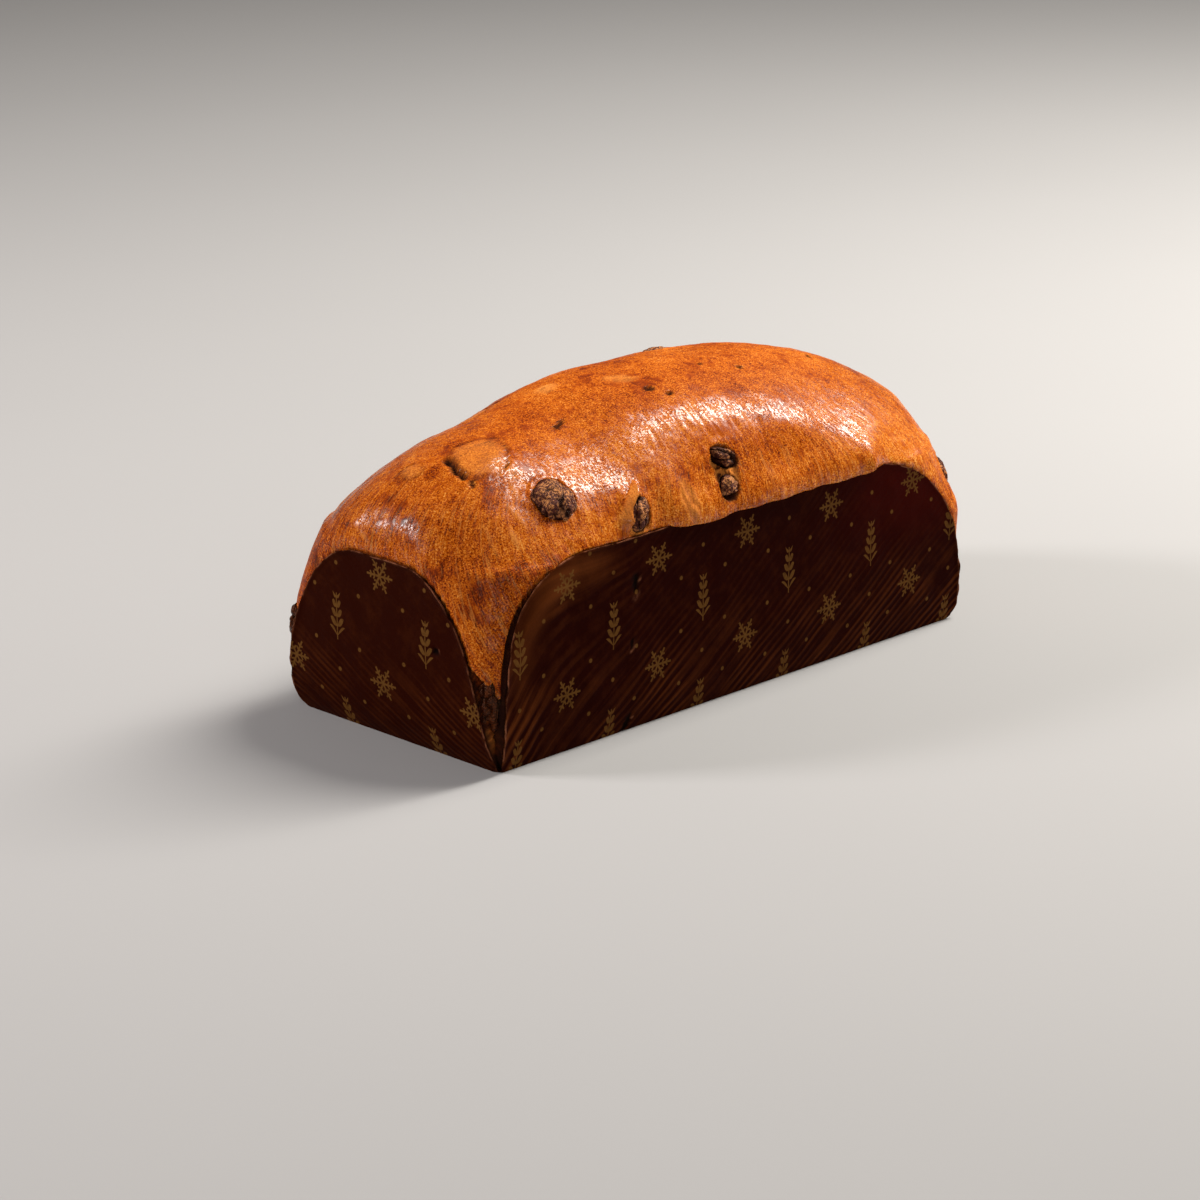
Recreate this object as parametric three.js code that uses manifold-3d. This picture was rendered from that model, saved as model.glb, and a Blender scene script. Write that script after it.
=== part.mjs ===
import * as THREE from 'three';
import { mergeVertices } from 'three/addons/utils/BufferGeometryUtils.js';
import Module from 'manifold-3d';

// A long sweet fruit loaf in the folded paper case it was baked in.
// Millimetres, +Z up. The origin is the middle of the flat underside, +X runs
// along the loaf, and the front long side faces -Y. Places on the skin are
// given by a height and by the distance round the skin from the front's middle.

const wasm = await Module();
wasm.setup();

// ---- Driving dimensions ----

const BASE = { length: 244.6, width: 103.4, corner: 3 };
const SHOULDER_HEIGHT = 70;
const CROWN_RISE = 44.8;
const SHOULDER_CORNER = { x: 41, y: 33.4 };
const CORNER_GROWTH = 2.5;
const CORNER_POWER = 1.82;
const FLARE = { right: 5.5, left: 7.2, side: 3 };
const FLARE_POWER = 5.9;
const CROWN_POWER = { right: 0.95, left: 0.924, side: 0.911 };
const CROWN_ROUNDING = 0.715;
const WAIST = { x: -60, width: 28, depth: 4.05, foot: 60, span: 40, squeeze: 0.011 };
const CENTRE_SHIFT = (FLARE.left - FLARE.right) / 2;

const PAPER = { thickness: 1, proud: 0.3 };
const GAP = 0.35;
const LONG_FLAP = {
  height: 73.5,
  foot: 122,
  left: { top: 77, power: 4, heel: 1.2 },
  right: { top: 60, power: 3, heel: 4 },
};
const END_FLAP = {
  height: 68.5,
  foot: 51.3,
  left: { top: 12, power: 2, heel: 0.8 },
  right: { top: 12, power: 2, heel: 4 },
};
const HEEL_HEIGHT = 6;
const FLAP_ROWS = 10;
const LONG_FLAP_COLUMNS = 20;
const END_FLAP_COLUMNS = 12;

// Points in a quarter of each ring: along the long wall, the corner, the end.
const RING = { long: 9, corner: 7, end: 4 };
const QUARTER_SAMPLES = 48;
const WALL_ROWS = 8;
const LIP_ROWS = { from: 67, step: 2.3, count: 6 };
const CROWN_ROWS = 12;

// The dough that swells over the paper's top edge: which part of a wall, how
// far it leans out and how far it hangs down.
const LIPS = [
  { wall: 'front', from: -46, to: 84, out: 2.2, drop: 3 },
  { wall: 'back', from: -88, to: 62, out: 2.3, drop: 2.6 },
];
const LIP_FADE = 22;
const LIP_CREST = 75;

// Where two flaps part, the dough stands back from the paper.
const CORNER_RECESS = { top: 1, foot: 4.6, height: 46, width: 13 };

// Swellings and hollows of the skin, by place, reach and rise.
const SWELLS = [
  { height: 100.5, round: -99, wide: 12, tall: 9, rise: 1.5 },
  { height: 87, round: -56, wide: 6, tall: 9, rise: 1.7 },
  { height: 84, round: -36, wide: 6, tall: 11, rise: 1.1 },
  { height: 88, round: -90, wide: 15, tall: 14, rise: -1.2 },
  { height: 85, round: -8, wide: 12, tall: 14, rise: -1 },
  { height: 78, round: 6, wide: 16, tall: 8, rise: 0.9 },
  { height: 77, round: 68, wide: 7, tall: 6, rise: 1 },
  { height: 46, round: 122, wide: 8, tall: 9, rise: 2.2 },
  { height: 95, round: -135, wide: 9, tall: 6, rise: 0.9 },
  { height: 88, round: 285, wide: 17, tall: 12, rise: 1.4 },
  { height: 92, round: 220, wide: 20, tall: 14, rise: -1.3 },
];

// Dried fruit that shows: half sizes along its length, across it and in depth,
// how far its middle lies under the skin, and its turn on the skin in degrees.
const FRUIT = [
  { name: 'raisin_front_round', height: 90.2, round: -83.6, size: [8.4, 7.8, 7], sink: 2.4, turn: 70, seed: 1 },
  { name: 'raisin_split_upper', height: 90.4, round: -6.2, size: [6.6, 4.1, 4.8], sink: 1.8, turn: -35, seed: 2 },
  { name: 'raisin_split_lower', height: 79.8, round: -7.6, size: [5.2, 4.6, 4.6], sink: 1.6, turn: 10, seed: 3 },
  { name: 'raisin_paper_edge', height: 80.8, round: -53, size: [6.8, 4.7, 4.4], sink: 2.4, turn: 62, seed: 4 },
  { name: 'raisin_crown', height: 111.6, round: 89.5, size: [6.5, 5, 4], sink: 2.4, turn: 0, seed: 5 },
  { name: 'raisin_far_corner', height: 59, round: 122.5, size: [8, 4, 4], sink: 2.6, turn: 90, seed: 6 },
  { name: 'raisin_near_corner', height: 25, round: -130.6, size: [10.5, 4.6, 5], sink: 5.4, turn: 90, seed: 7 },
  { name: 'raisin_left_corner', height: 33, round: -227.6, size: [8, 4.4, 4.6], sink: 3.9, turn: 90, seed: 8 },
  { name: 'raisin_back_round', height: 92, round: 240, size: [8, 7.2, 6.4], sink: 2, turn: 40, seed: 9 },
  { name: 'raisin_back_long', height: 84, round: 338, size: [7.4, 4.8, 4.6], sink: 2, turn: 75, seed: 10 },
  { name: 'raisin_right_end', height: 86, round: 160, size: [6.8, 5.6, 5], sink: 2, turn: 130, seed: 11 },
];
const FRUIT_DETAIL = 2;

// ---- Materials ----

const crust = new THREE.MeshStandardMaterial({ color: 0xb0621f, roughness: 0.42, metalness: 0 });
const paper = new THREE.MeshStandardMaterial({ color: 0x2a100a, roughness: 0.55, metalness: 0 });
const driedFruit = new THREE.MeshStandardMaterial({ color: 0x2b1712, roughness: 0.65, metalness: 0 });

// ---- Skin of the loaf ----

function smooth(value, low, high) {
  const t = THREE.MathUtils.clamp((value - low) / (high - low), 0, 1);
  return t * t * (3 - 2 * t);
}

function bell(distance, reach) {
  return Math.exp(-((distance / reach) ** 2));
}

// Half sizes and corner radii of the wall, from the base to the shoulder.
function wallSection(height) {
  const rise = height / SHOULDER_HEIGHT;
  const flare = 1 - (1 - rise) ** FLARE_POWER;
  const growth = Math.max(rise, 0) ** CORNER_GROWTH;
  const cornerX = BASE.corner + (SHOULDER_CORNER.x - BASE.corner) * growth;
  const cornerY = BASE.corner + (SHOULDER_CORNER.y - BASE.corner) * growth;
  return {
    right: BASE.length / 2 + FLARE.right * flare,
    left: BASE.length / 2 + FLARE.left * flare,
    side: BASE.width / 2 + FLARE.side * flare,
    cornerRight: cornerX,
    cornerLeft: cornerX,
    cornerSide: cornerY,
  };
}

// The same over the shoulder, where the section shrinks to the top.
function crownSection(height) {
  const sine = Math.min((height - SHOULDER_HEIGHT) / CROWN_RISE, 1);
  const cosine = Math.sqrt(1 - sine * sine);
  const shoulder = wallSection(SHOULDER_HEIGHT);
  const round = sine ** CROWN_ROUNDING;
  const right = shoulder.right * cosine ** CROWN_POWER.right;
  const left = shoulder.left * cosine ** CROWN_POWER.left;
  const side = shoulder.side * cosine ** CROWN_POWER.side;
  const mix = (share) => share + (1 - share) * round;
  return {
    right,
    left,
    side,
    cornerRight: right * mix(SHOULDER_CORNER.x / shoulder.right),
    cornerLeft: left * mix(SHOULDER_CORNER.x / shoulder.left),
    cornerSide: side * mix(SHOULDER_CORNER.y / shoulder.side),
  };
}

function sectionAt(height) {
  return height <= SHOULDER_HEIGHT ? wallSection(height) : crownSection(height);
}

// A quarter of a ring, from the long wall's middle to the end wall's middle,
// with the distance walked along it.
function quarterRing(section, toRight, counts) {
  const reach = toRight ? section.right : section.left;
  const corner = toRight ? section.cornerRight : section.cornerLeft;
  const points = [];
  for (let i = 0; i < counts.long; i += 1) {
    points.push(new THREE.Vector2(((reach - corner) * i) / counts.long, section.side));
  }
  for (let i = 0; i <= counts.corner; i += 1) {
    const angle = (Math.PI / 2) * (1 - i / counts.corner);
    const x = reach - corner + corner * Math.cos(angle) ** (2 / CORNER_POWER);
    const y = section.side - section.cornerSide + section.cornerSide * Math.sin(angle) ** (2 / CORNER_POWER);
    points.push(new THREE.Vector2(x, y));
  }
  for (let i = 1; i <= counts.end; i += 1) {
    points.push(new THREE.Vector2(reach, (section.side - section.cornerSide) * (1 - i / counts.end)));
  }
  let along = 0;
  return points.map((point, i) => {
    along += i > 0 ? point.distanceTo(points[i - 1]) : 0;
    return { x: point.x, y: point.y, along };
  });
}

// The whole ring, anticlockwise from above, starting at the front's middle.
// Each point also knows its quarter and its distance from that long wall's middle.
function fullRing(section, counts) {
  const ring = [];
  const right = quarterRing(section, true, counts);
  const left = quarterRing(section, false, counts);
  const spans = { right: right.at(-1).along, left: left.at(-1).along };
  const add = (point, wall, signX, signY, span) => {
    ring.push({ x: signX * point.x, y: signY * point.y, wall, along: point.along, span, signX });
  };
  right.slice(0, -1).forEach((point) => add(point, 'front', 1, -1, spans.right));
  right.slice(1).reverse().forEach((point) => add(point, 'back', 1, 1, spans.right));
  left.slice(0, -1).forEach((point) => add(point, 'back', -1, 1, spans.left));
  left.slice(1).reverse().forEach((point) => add(point, 'front', -1, -1, spans.left));
  return ring;
}

// The crown dips and narrows a little at its waist.
function pinch(point) {
  const rise = THREE.MathUtils.clamp((point.z - WAIST.foot) / WAIST.span, 0, 1);
  const dip = WAIST.depth * bell(point.x - WAIST.x, WAIST.width) * rise;
  return new THREE.Vector3(point.x, point.y * (1 - WAIST.squeeze * dip), point.z - dip);
}

const fineCounts = { long: QUARTER_SAMPLES, corner: QUARTER_SAMPLES, end: QUARTER_SAMPLES };
const fineRings = new Map();

// A finely divided ring with its running distance, kept for reuse.
function fineRing(height) {
  if (!fineRings.has(height)) {
    const ring = fullRing(sectionAt(height), fineCounts);
    const walked = [0];
    ring.forEach((point, i) => {
      const next = ring[(i + 1) % ring.length];
      walked.push(walked[i] + Math.hypot(next.x - point.x, next.y - point.y));
    });
    fineRings.set(height, { ring, walked });
  }
  return fineRings.get(height);
}

// The point of a ring at a distance round it, moved outward by an offset.
function ringPoint(height, round, offset = 0) {
  const { ring, walked } = fineRing(height);
  const total = walked.at(-1);
  const target = ((round % total) + total) % total;
  let low = 0;
  let high = ring.length;
  while (high - low > 1) {
    const middle = (low + high) >> 1;
    if (walked[middle] <= target) low = middle;
    else high = middle;
  }
  const start = ring[low];
  const end = ring[(low + 1) % ring.length];
  const share = (target - walked[low]) / (walked[low + 1] - walked[low]);
  const before = ring[(low + ring.length - 1) % ring.length];
  const after = ring[(low + 2) % ring.length];
  const tangent = new THREE.Vector2(after.x - before.x, after.y - before.y).normalize();
  const x = THREE.MathUtils.lerp(start.x, end.x, share) + tangent.y * offset;
  const y = THREE.MathUtils.lerp(start.y, end.y, share) - tangent.x * offset;
  return pinch(new THREE.Vector3(x, y, height));
}

// A place on the skin with its outward direction and its level direction.
function skinFrame(height, round) {
  const share = round / fineRing(height).walked.at(-1);
  const at = (level) => ringPoint(level, share * fineRing(level).walked.at(-1));
  const level = ringPoint(height, round + 1).sub(ringPoint(height, round - 1)).normalize();
  const upward = at(height + 1).sub(at(height - 1)).normalize();
  const outward = new THREE.Vector3().crossVectors(level, upward).normalize();
  return { point: ringPoint(height, round), level, outward };
}

// ---- Closed meshes ----

function solidFrom(vertices, triangles) {
  const geometry = new THREE.BufferGeometry();
  geometry.setAttribute('position', new THREE.Float32BufferAttribute(vertices.flatMap((v) => v.toArray()), 3));
  geometry.setIndex(triangles);
  return solidOf(geometry);
}

function solidOf(geometry) {
  const bare = geometry.clone();
  bare.deleteAttribute('normal');
  bare.deleteAttribute('uv');
  const merged = mergeVertices(bare, 1e-4);
  const vertProperties = new Float32Array(merged.attributes.position.array);
  const triVerts = new Uint32Array(merged.index.array);
  return new wasm.Manifold(new wasm.Mesh({ numProp: 3, vertProperties, triVerts }));
}

function geometryOf(solid) {
  const mesh = solid.getMesh();
  const geometry = new THREE.BufferGeometry();
  geometry.setAttribute('position', new THREE.BufferAttribute(mesh.vertProperties, 3));
  geometry.setIndex(new THREE.BufferAttribute(mesh.triVerts, 1));
  geometry.computeVertexNormals();
  return geometry;
}

// Triangles of a stack of equal rings, closed by a middle point at each end.
function closeRings(rings, bottom, top) {
  const count = rings[0].length;
  const vertices = rings.flat();
  const bottomIndex = vertices.push(bottom) - 1;
  const topIndex = vertices.push(top) - 1;
  const lastRow = (rings.length - 1) * count;
  const triangles = [];
  for (let i = 0; i < count; i += 1) {
    const next = (i + 1) % count;
    for (let row = 0; row < rings.length - 1; row += 1) {
      const a = row * count + i;
      const b = row * count + next;
      triangles.push(a, b, b + count, a, b + count, a + count);
    }
    triangles.push(bottomIndex, next, i, topIndex, lastRow + i, lastRow + next);
  }
  return { vertices, triangles };
}

// ---- Paper case ----

// Half the width of a flap at a height, on its left or right side.
function flapEdge(flap, edge, height, grow) {
  const rise = THREE.MathUtils.clamp(height / (flap.height + grow), 0, 1);
  const shoulder = Math.sqrt(1 - rise ** edge.power);
  const low = THREE.MathUtils.clamp(1 - height / HEEL_HEIGHT, 0, 1);
  const heel = edge.heel * low * low;
  return edge.top + (flap.foot - edge.top) * shoulder - heel + grow;
}

// A flap wrapped round the skin between two offsets from it.
function flapSolid(flap, middleRound, columns, { inner, outer, grow, foot }) {
  const faces = [outer, inner].map((offset) => {
    const rows = [];
    for (let row = 0; row <= FLAP_ROWS; row += 1) {
      const rise = (1 - Math.cos((Math.PI * row) / FLAP_ROWS)) / 2;
      const height = foot + (flap.height + grow - foot) * rise;
      const left = flapEdge(flap, flap.left, height, grow);
      const right = flapEdge(flap, flap.right, height, grow);
      const middle = middleRound(height);
      const points = [];
      for (let column = 0; column <= columns; column += 1) {
        const share = Math.sin((Math.PI / 2) * ((2 * column) / columns - 1));
        points.push(ringPoint(height, middle + share * (share < 0 ? left : right), offset));
      }
      rows.push(points);
    }
    return rows;
  });
  // Each ring of the solid runs along the outer face and back along the inner.
  const rings = faces[0].map((points, row) => [...points, ...faces[1][row].slice().reverse()]);
  const width = columns + 1;
  const count = 2 * width;
  const triangles = [];
  for (let row = 0; row < FLAP_ROWS; row += 1) {
    for (let i = 0; i < count; i += 1) {
      const a = row * count + i;
      const b = row * count + ((i + 1) % count);
      triangles.push(a, b, b + count, a, b + count, a + count);
    }
  }
  const top = FLAP_ROWS * count;
  for (let i = 0; i < columns; i += 1) {
    const facing = count - 1 - i;
    triangles.push(i, facing, facing - 1, i, facing - 1, i + 1);
    triangles.push(top + i, top + i + 1, top + facing - 1, top + i, top + facing - 1, top + facing);
  }
  return solidFrom(rings.flat(), triangles);
}

function mirrored(flap) {
  return { ...flap, left: flap.right, right: flap.left };
}

// The four flaps stand round the front, the right end, the back and the left end.
function allFlaps(shape) {
  const whole = (height) => fineRing(height).walked.at(-1);
  const rightSpan = (height) => quarterRing(sectionAt(height), true, fineCounts).at(-1).along;
  return [
    flapSolid(LONG_FLAP, () => 0, LONG_FLAP_COLUMNS, shape),
    flapSolid(END_FLAP, rightSpan, END_FLAP_COLUMNS, shape),
    flapSolid(LONG_FLAP, (height) => 2 * rightSpan(height), LONG_FLAP_COLUMNS, shape),
    flapSolid(mirrored(END_FLAP), (height) => (whole(height) + 2 * rightSpan(height)) / 2, END_FLAP_COLUMNS, shape),
  ];
}

function unite(solids) {
  return solids.reduce((whole, solid) => whole.add(solid));
}

// The main body of a cut solid, without the crumbs that a cut leaves loose.
function mainBody(solid) {
  return solid.decompose().reduce((main, body) => (body.volume() > main.volume() ? body : main));
}

function caseSolid() {
  const shape = { inner: PAPER.proud - PAPER.thickness, outer: PAPER.proud, grow: 0, foot: 0 };
  const outline = (z) => fullRing(sectionAt(0), RING).map((point) => new THREE.Vector3(point.x, point.y, z));
  const rings = [outline(0), outline(PAPER.thickness)];
  const floor = closeRings(rings, new THREE.Vector3(0, 0, 0), new THREE.Vector3(0, 0, PAPER.thickness));
  return unite([solidFrom(floor.vertices, floor.triangles), ...allFlaps(shape)]);
}

// The room that the paper needs, which the loaf and the fruit stay out of.
function caseRoom() {
  const inner = PAPER.proud - PAPER.thickness - GAP;
  return unite(allFlaps({ inner, outer: PAPER.proud + GAP, grow: GAP, foot: -1 }));
}

// ---- Loaf ----

function loafHeights() {
  const floor = PAPER.thickness + GAP;
  const heights = [];
  for (let i = 0; i < WALL_ROWS; i += 1) {
    const rise = (1 - Math.cos((Math.PI * i) / WALL_ROWS)) / 2;
    heights.push(floor + (LIP_ROWS.from - LIP_ROWS.step - floor) * rise);
  }
  for (let i = 0; i < LIP_ROWS.count; i += 1) {
    heights.push(LIP_ROWS.from + LIP_ROWS.step * i);
  }
  const start = Math.asin((heights.at(-1) - SHOULDER_HEIGHT) / CROWN_RISE);
  for (let i = 1; i < CROWN_ROWS; i += 1) {
    const angle = THREE.MathUtils.lerp(start, Math.PI / 2, i / CROWN_ROWS);
    heights.push(SHOULDER_HEIGHT + CROWN_RISE * Math.sin(angle));
  }
  return heights;
}

// How far the skin stands back beside the gap between two flaps.
function cornerRecess(point) {
  const longEdge = flapEdge(LONG_FLAP, LONG_FLAP.left, point.z, 0);
  const endEdge = flapEdge(END_FLAP, END_FLAP.left, point.z, 0);
  const middle = (longEdge + point.span - endEdge) / 2;
  const low = 1 - smooth(point.z, 0, CORNER_RECESS.height);
  const depth = CORNER_RECESS.top + (CORNER_RECESS.foot - CORNER_RECESS.top) * low;
  const fade = 1 - smooth(point.z, CORNER_RECESS.height, LIP_CREST);
  return -depth * fade * bell(point.along - middle, CORNER_RECESS.width);
}

// Outward and downward reach of the dough over the paper's top edge.
function lipReach(point) {
  const place = point.along * point.signX;
  let out = 0;
  let drop = 0;
  LIPS.filter((lip) => lip.wall === point.wall).forEach((lip) => {
    const window = smooth(place, lip.from, lip.from + LIP_FADE) * (1 - smooth(place, lip.to - LIP_FADE, lip.to));
    const spread = point.z < LIP_CREST ? 2.4 : 6;
    out += lip.out * window * bell(point.z - LIP_CREST, spread);
    drop += lip.drop * window * bell(point.z - LIP_CREST + 1, 3);
  });
  return { out, drop };
}

const swellPlaces = SWELLS.map((swell) => ({ ...swell, point: skinFrame(swell.height, swell.round).point }));

function swellAt(point) {
  return swellPlaces.reduce((sum, swell) => {
    const level = Math.hypot(point.x - swell.point.x, point.y - swell.point.y) / swell.wide;
    const upright = (point.z - swell.point.z) / swell.tall;
    return sum + swell.rise * Math.exp(-level * level - upright * upright);
  }, 0);
}

// Slow hills of the risen dough, none where the paper holds it.
function unevenness(point) {
  const free = smooth(point.z, LIP_CREST, LIP_CREST + 12);
  const hills = Math.sin(point.x / 19 + 1.3) * Math.sin(point.y / 17 + point.z / 29);
  const knolls = Math.sin(point.x / 8.5 - point.y / 11) * Math.cos(point.z / 9 + point.x / 23);
  return free * (0.7 * hills + 0.35 * knolls);
}

function loafRing(height) {
  return fullRing(sectionAt(height), RING).map((point) => {
    const next = { ...point, z: height };
    return { ...next, position: pinch(new THREE.Vector3(point.x, point.y, height)) };
  });
}

function loafSolid() {
  const rings = loafHeights().map(loafRing);
  const top = pinch(new THREE.Vector3(0, 0, SHOULDER_HEIGHT + CROWN_RISE));
  const bottom = new THREE.Vector3(0, 0, PAPER.thickness + GAP);
  const plain = closeRings(rings.map((ring) => ring.map((point) => point.position)), bottom, top);
  const geometry = new THREE.BufferGeometry();
  const flat = plain.vertices.flatMap((vertex) => vertex.toArray());
  geometry.setAttribute('position', new THREE.Float32BufferAttribute(flat, 3));
  geometry.setIndex(plain.triangles);
  geometry.computeVertexNormals();
  const normal = new THREE.Vector3();
  rings.flat().forEach((point, i) => {
    const place = { ...point, x: point.position.x, y: point.position.y };
    const lip = lipReach(place);
    normal.fromBufferAttribute(geometry.attributes.normal, i);
    const sideways = new THREE.Vector3(normal.x, normal.y, 0).normalize();
    const firmFoot = point.z < SHOULDER_HEIGHT / 2 ? sideways : normal;
    plain.vertices[i].addScaledVector(firmFoot, swellAt(place) + unevenness(place) + cornerRecess(place));
    plain.vertices[i].addScaledVector(sideways, lip.out);
    plain.vertices[i].z -= lip.drop;
  });
  return solidFrom(plain.vertices, plain.triangles);
}

// ---- Dried fruit ----

// A wrinkled lump with the given half sizes, lying on the skin.
function fruitSolid(fruit, grow) {
  const geometry = new THREE.IcosahedronGeometry(1, FRUIT_DETAIL);
  const position = geometry.attributes.position;
  const frame = skinFrame(fruit.height, fruit.round);
  const across = new THREE.Vector3().crossVectors(frame.outward, frame.level);
  const basis = new THREE.Matrix4().makeBasis(frame.level, across, frame.outward);
  const turn = new THREE.Matrix4().makeRotationZ(THREE.MathUtils.degToRad(fruit.turn));
  const place = frame.point.clone().addScaledVector(frame.outward, -fruit.sink);
  const matrix = basis.multiply(turn).setPosition(place);
  const vertex = new THREE.Vector3();
  for (let i = 0; i < position.count; i += 1) {
    vertex.fromBufferAttribute(position, i);
    const fold = Math.sin(5 * vertex.x + 2.1 * fruit.seed) * Math.sin(6 * vertex.y + 3 * vertex.z + fruit.seed);
    const swell = Math.sin(2.3 * vertex.x + 2.9 * vertex.y - 1.7 * fruit.seed);
    const radius = 1 + 0.07 * fold + 0.06 * swell;
    const [length, width, depth] = fruit.size;
    vertex.set(vertex.x * (length * radius + grow), vertex.y * (width * radius + grow), vertex.z * (depth * radius + grow));
    vertex.applyMatrix4(matrix);
    position.setXYZ(i, vertex.x, vertex.y, vertex.z);
  }
  return solidOf(geometry);
}

// ---- Assembly ----

const object = new THREE.Group();
object.position.x = CENTRE_SHIFT;

function addPiece(name, solid, material) {
  const mesh = new THREE.Mesh(geometryOf(solid), material);
  mesh.name = name;
  object.add(mesh);
}

const room = caseRoom();
const pockets = unite(FRUIT.map((fruit) => fruitSolid(fruit, GAP)));

addPiece('loaf', mainBody(loafSolid().subtract(room).subtract(pockets)), crust);
addPiece('paper_case', caseSolid(), paper);
FRUIT.forEach((fruit) => addPiece(fruit.name, mainBody(fruitSolid(fruit, 0).subtract(room)), driedFruit));

export default object;
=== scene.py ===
"""A sweet fruit loaf in its folded paper baking case.

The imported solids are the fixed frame. The crust, the paper and the dried fruit
are built here as finer meshes in their place, from the same named sizes. Shapes
are worked out in millimetres about the middle of the case's base, and turned
into the frame's metres when a mesh is made. A place on the skin is a height and
a distance round the skin from the front's middle, positive towards +X.
"""

import logging
import math
from dataclasses import dataclass, field
from enum import Enum, IntEnum
from functools import reduce

import bmesh
import bpy
import numpy as np
from mathutils import Matrix, Vector


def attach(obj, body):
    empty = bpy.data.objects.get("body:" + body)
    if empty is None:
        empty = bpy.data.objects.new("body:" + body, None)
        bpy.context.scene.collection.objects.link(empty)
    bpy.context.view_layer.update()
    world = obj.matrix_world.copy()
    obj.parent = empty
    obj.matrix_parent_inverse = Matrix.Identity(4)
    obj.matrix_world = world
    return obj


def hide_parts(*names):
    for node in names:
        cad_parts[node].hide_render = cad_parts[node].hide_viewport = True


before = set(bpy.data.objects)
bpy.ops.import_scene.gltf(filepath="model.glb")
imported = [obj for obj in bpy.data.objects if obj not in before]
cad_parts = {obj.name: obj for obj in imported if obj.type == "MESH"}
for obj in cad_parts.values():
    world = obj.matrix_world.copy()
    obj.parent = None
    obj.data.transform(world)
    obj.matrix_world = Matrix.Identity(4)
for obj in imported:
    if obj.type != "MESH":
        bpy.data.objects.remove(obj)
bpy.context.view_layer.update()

Array = np.ndarray
Socket = bpy.types.NodeSocket
Pair = tuple[float, float]
Triple = tuple[float, float, float]
Colour = Triple

LOG = logging.getLogger("loaf")
BODY = "root"
METRE = 0.001


def smooth(value: Array, low: float, high: float | Array) -> Array:
    """Smooth step of value from 0 at low to 1 at high."""
    share = np.clip((value - low) / (high - low), 0.0, 1.0)
    return share * share * (3.0 - 2.0 * share)


def bell(distance: Array, reach: float | Array) -> Array:
    """Bell curve of a distance, 1 in its middle."""
    return np.exp(-((distance / reach) ** 2))


def unit(vectors: Array) -> Array:
    """Vectors along the last axis, each brought to length 1."""
    return vectors / np.maximum(np.linalg.norm(vectors, axis=-1, keepdims=True), 1e-9)


class Grain:
    """Seeded gradient noise over points in space."""

    def __init__(self, seed: int) -> None:
        """Draws the table of directions that this grain uses.

        Args:
            seed: Number that fixes the draw.
        """
        draw = np.random.default_rng(seed)
        self.table = draw.permutation(256)
        self.slopes = unit(draw.normal(size=(256, 3)))

    def value(self, points: Array, size: float | Triple) -> Array:
        """Noise between about -0.9 and 0.9.

        Args:
            points: Places, with x, y and z along the last axis.
            size: Width of a grain, or its widths along x, y and z.

        Returns:
            One value for each place.
        """
        cell = points / np.asarray(size)
        base = np.floor(cell).astype(np.int64)
        part = cell - base
        fade = part * part * part * (part * (part * 6 - 15) + 10)
        total = np.zeros(points.shape[:-1])
        for corner in np.ndindex(2, 2, 2):
            step = np.array(corner)
            x, y, z = np.moveaxis((base + step) & 255, -1, 0)
            chosen = self.table[(self.table[(self.table[x] + y) & 255] + z) & 255]
            pull = np.sum(self.slopes[chosen] * (part - step), axis=-1)
            weight = np.prod(np.where(step, fade, 1 - fade), axis=-1)
            total += weight * pull
        return total * 1.5

    def layered(self, points: Array, size: float, layers: int = 3) -> Array:
        """Noise of several sizes, each half as wide and half as strong as the last."""
        return sum(self.value(points, size / 2**i) / 2**i for i in range(layers))


@dataclass(frozen=True)
class Place:
    """A point of the skin with its level, upward and outward directions."""

    point: Array
    level: Array
    upward: Array
    outward: Array

    def local(self, points: Array) -> tuple[Array, Array, Array]:
        """Distances of points from this place along its three directions."""
        away = points - self.point
        return away @ self.level, away @ self.upward, away @ self.outward


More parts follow.
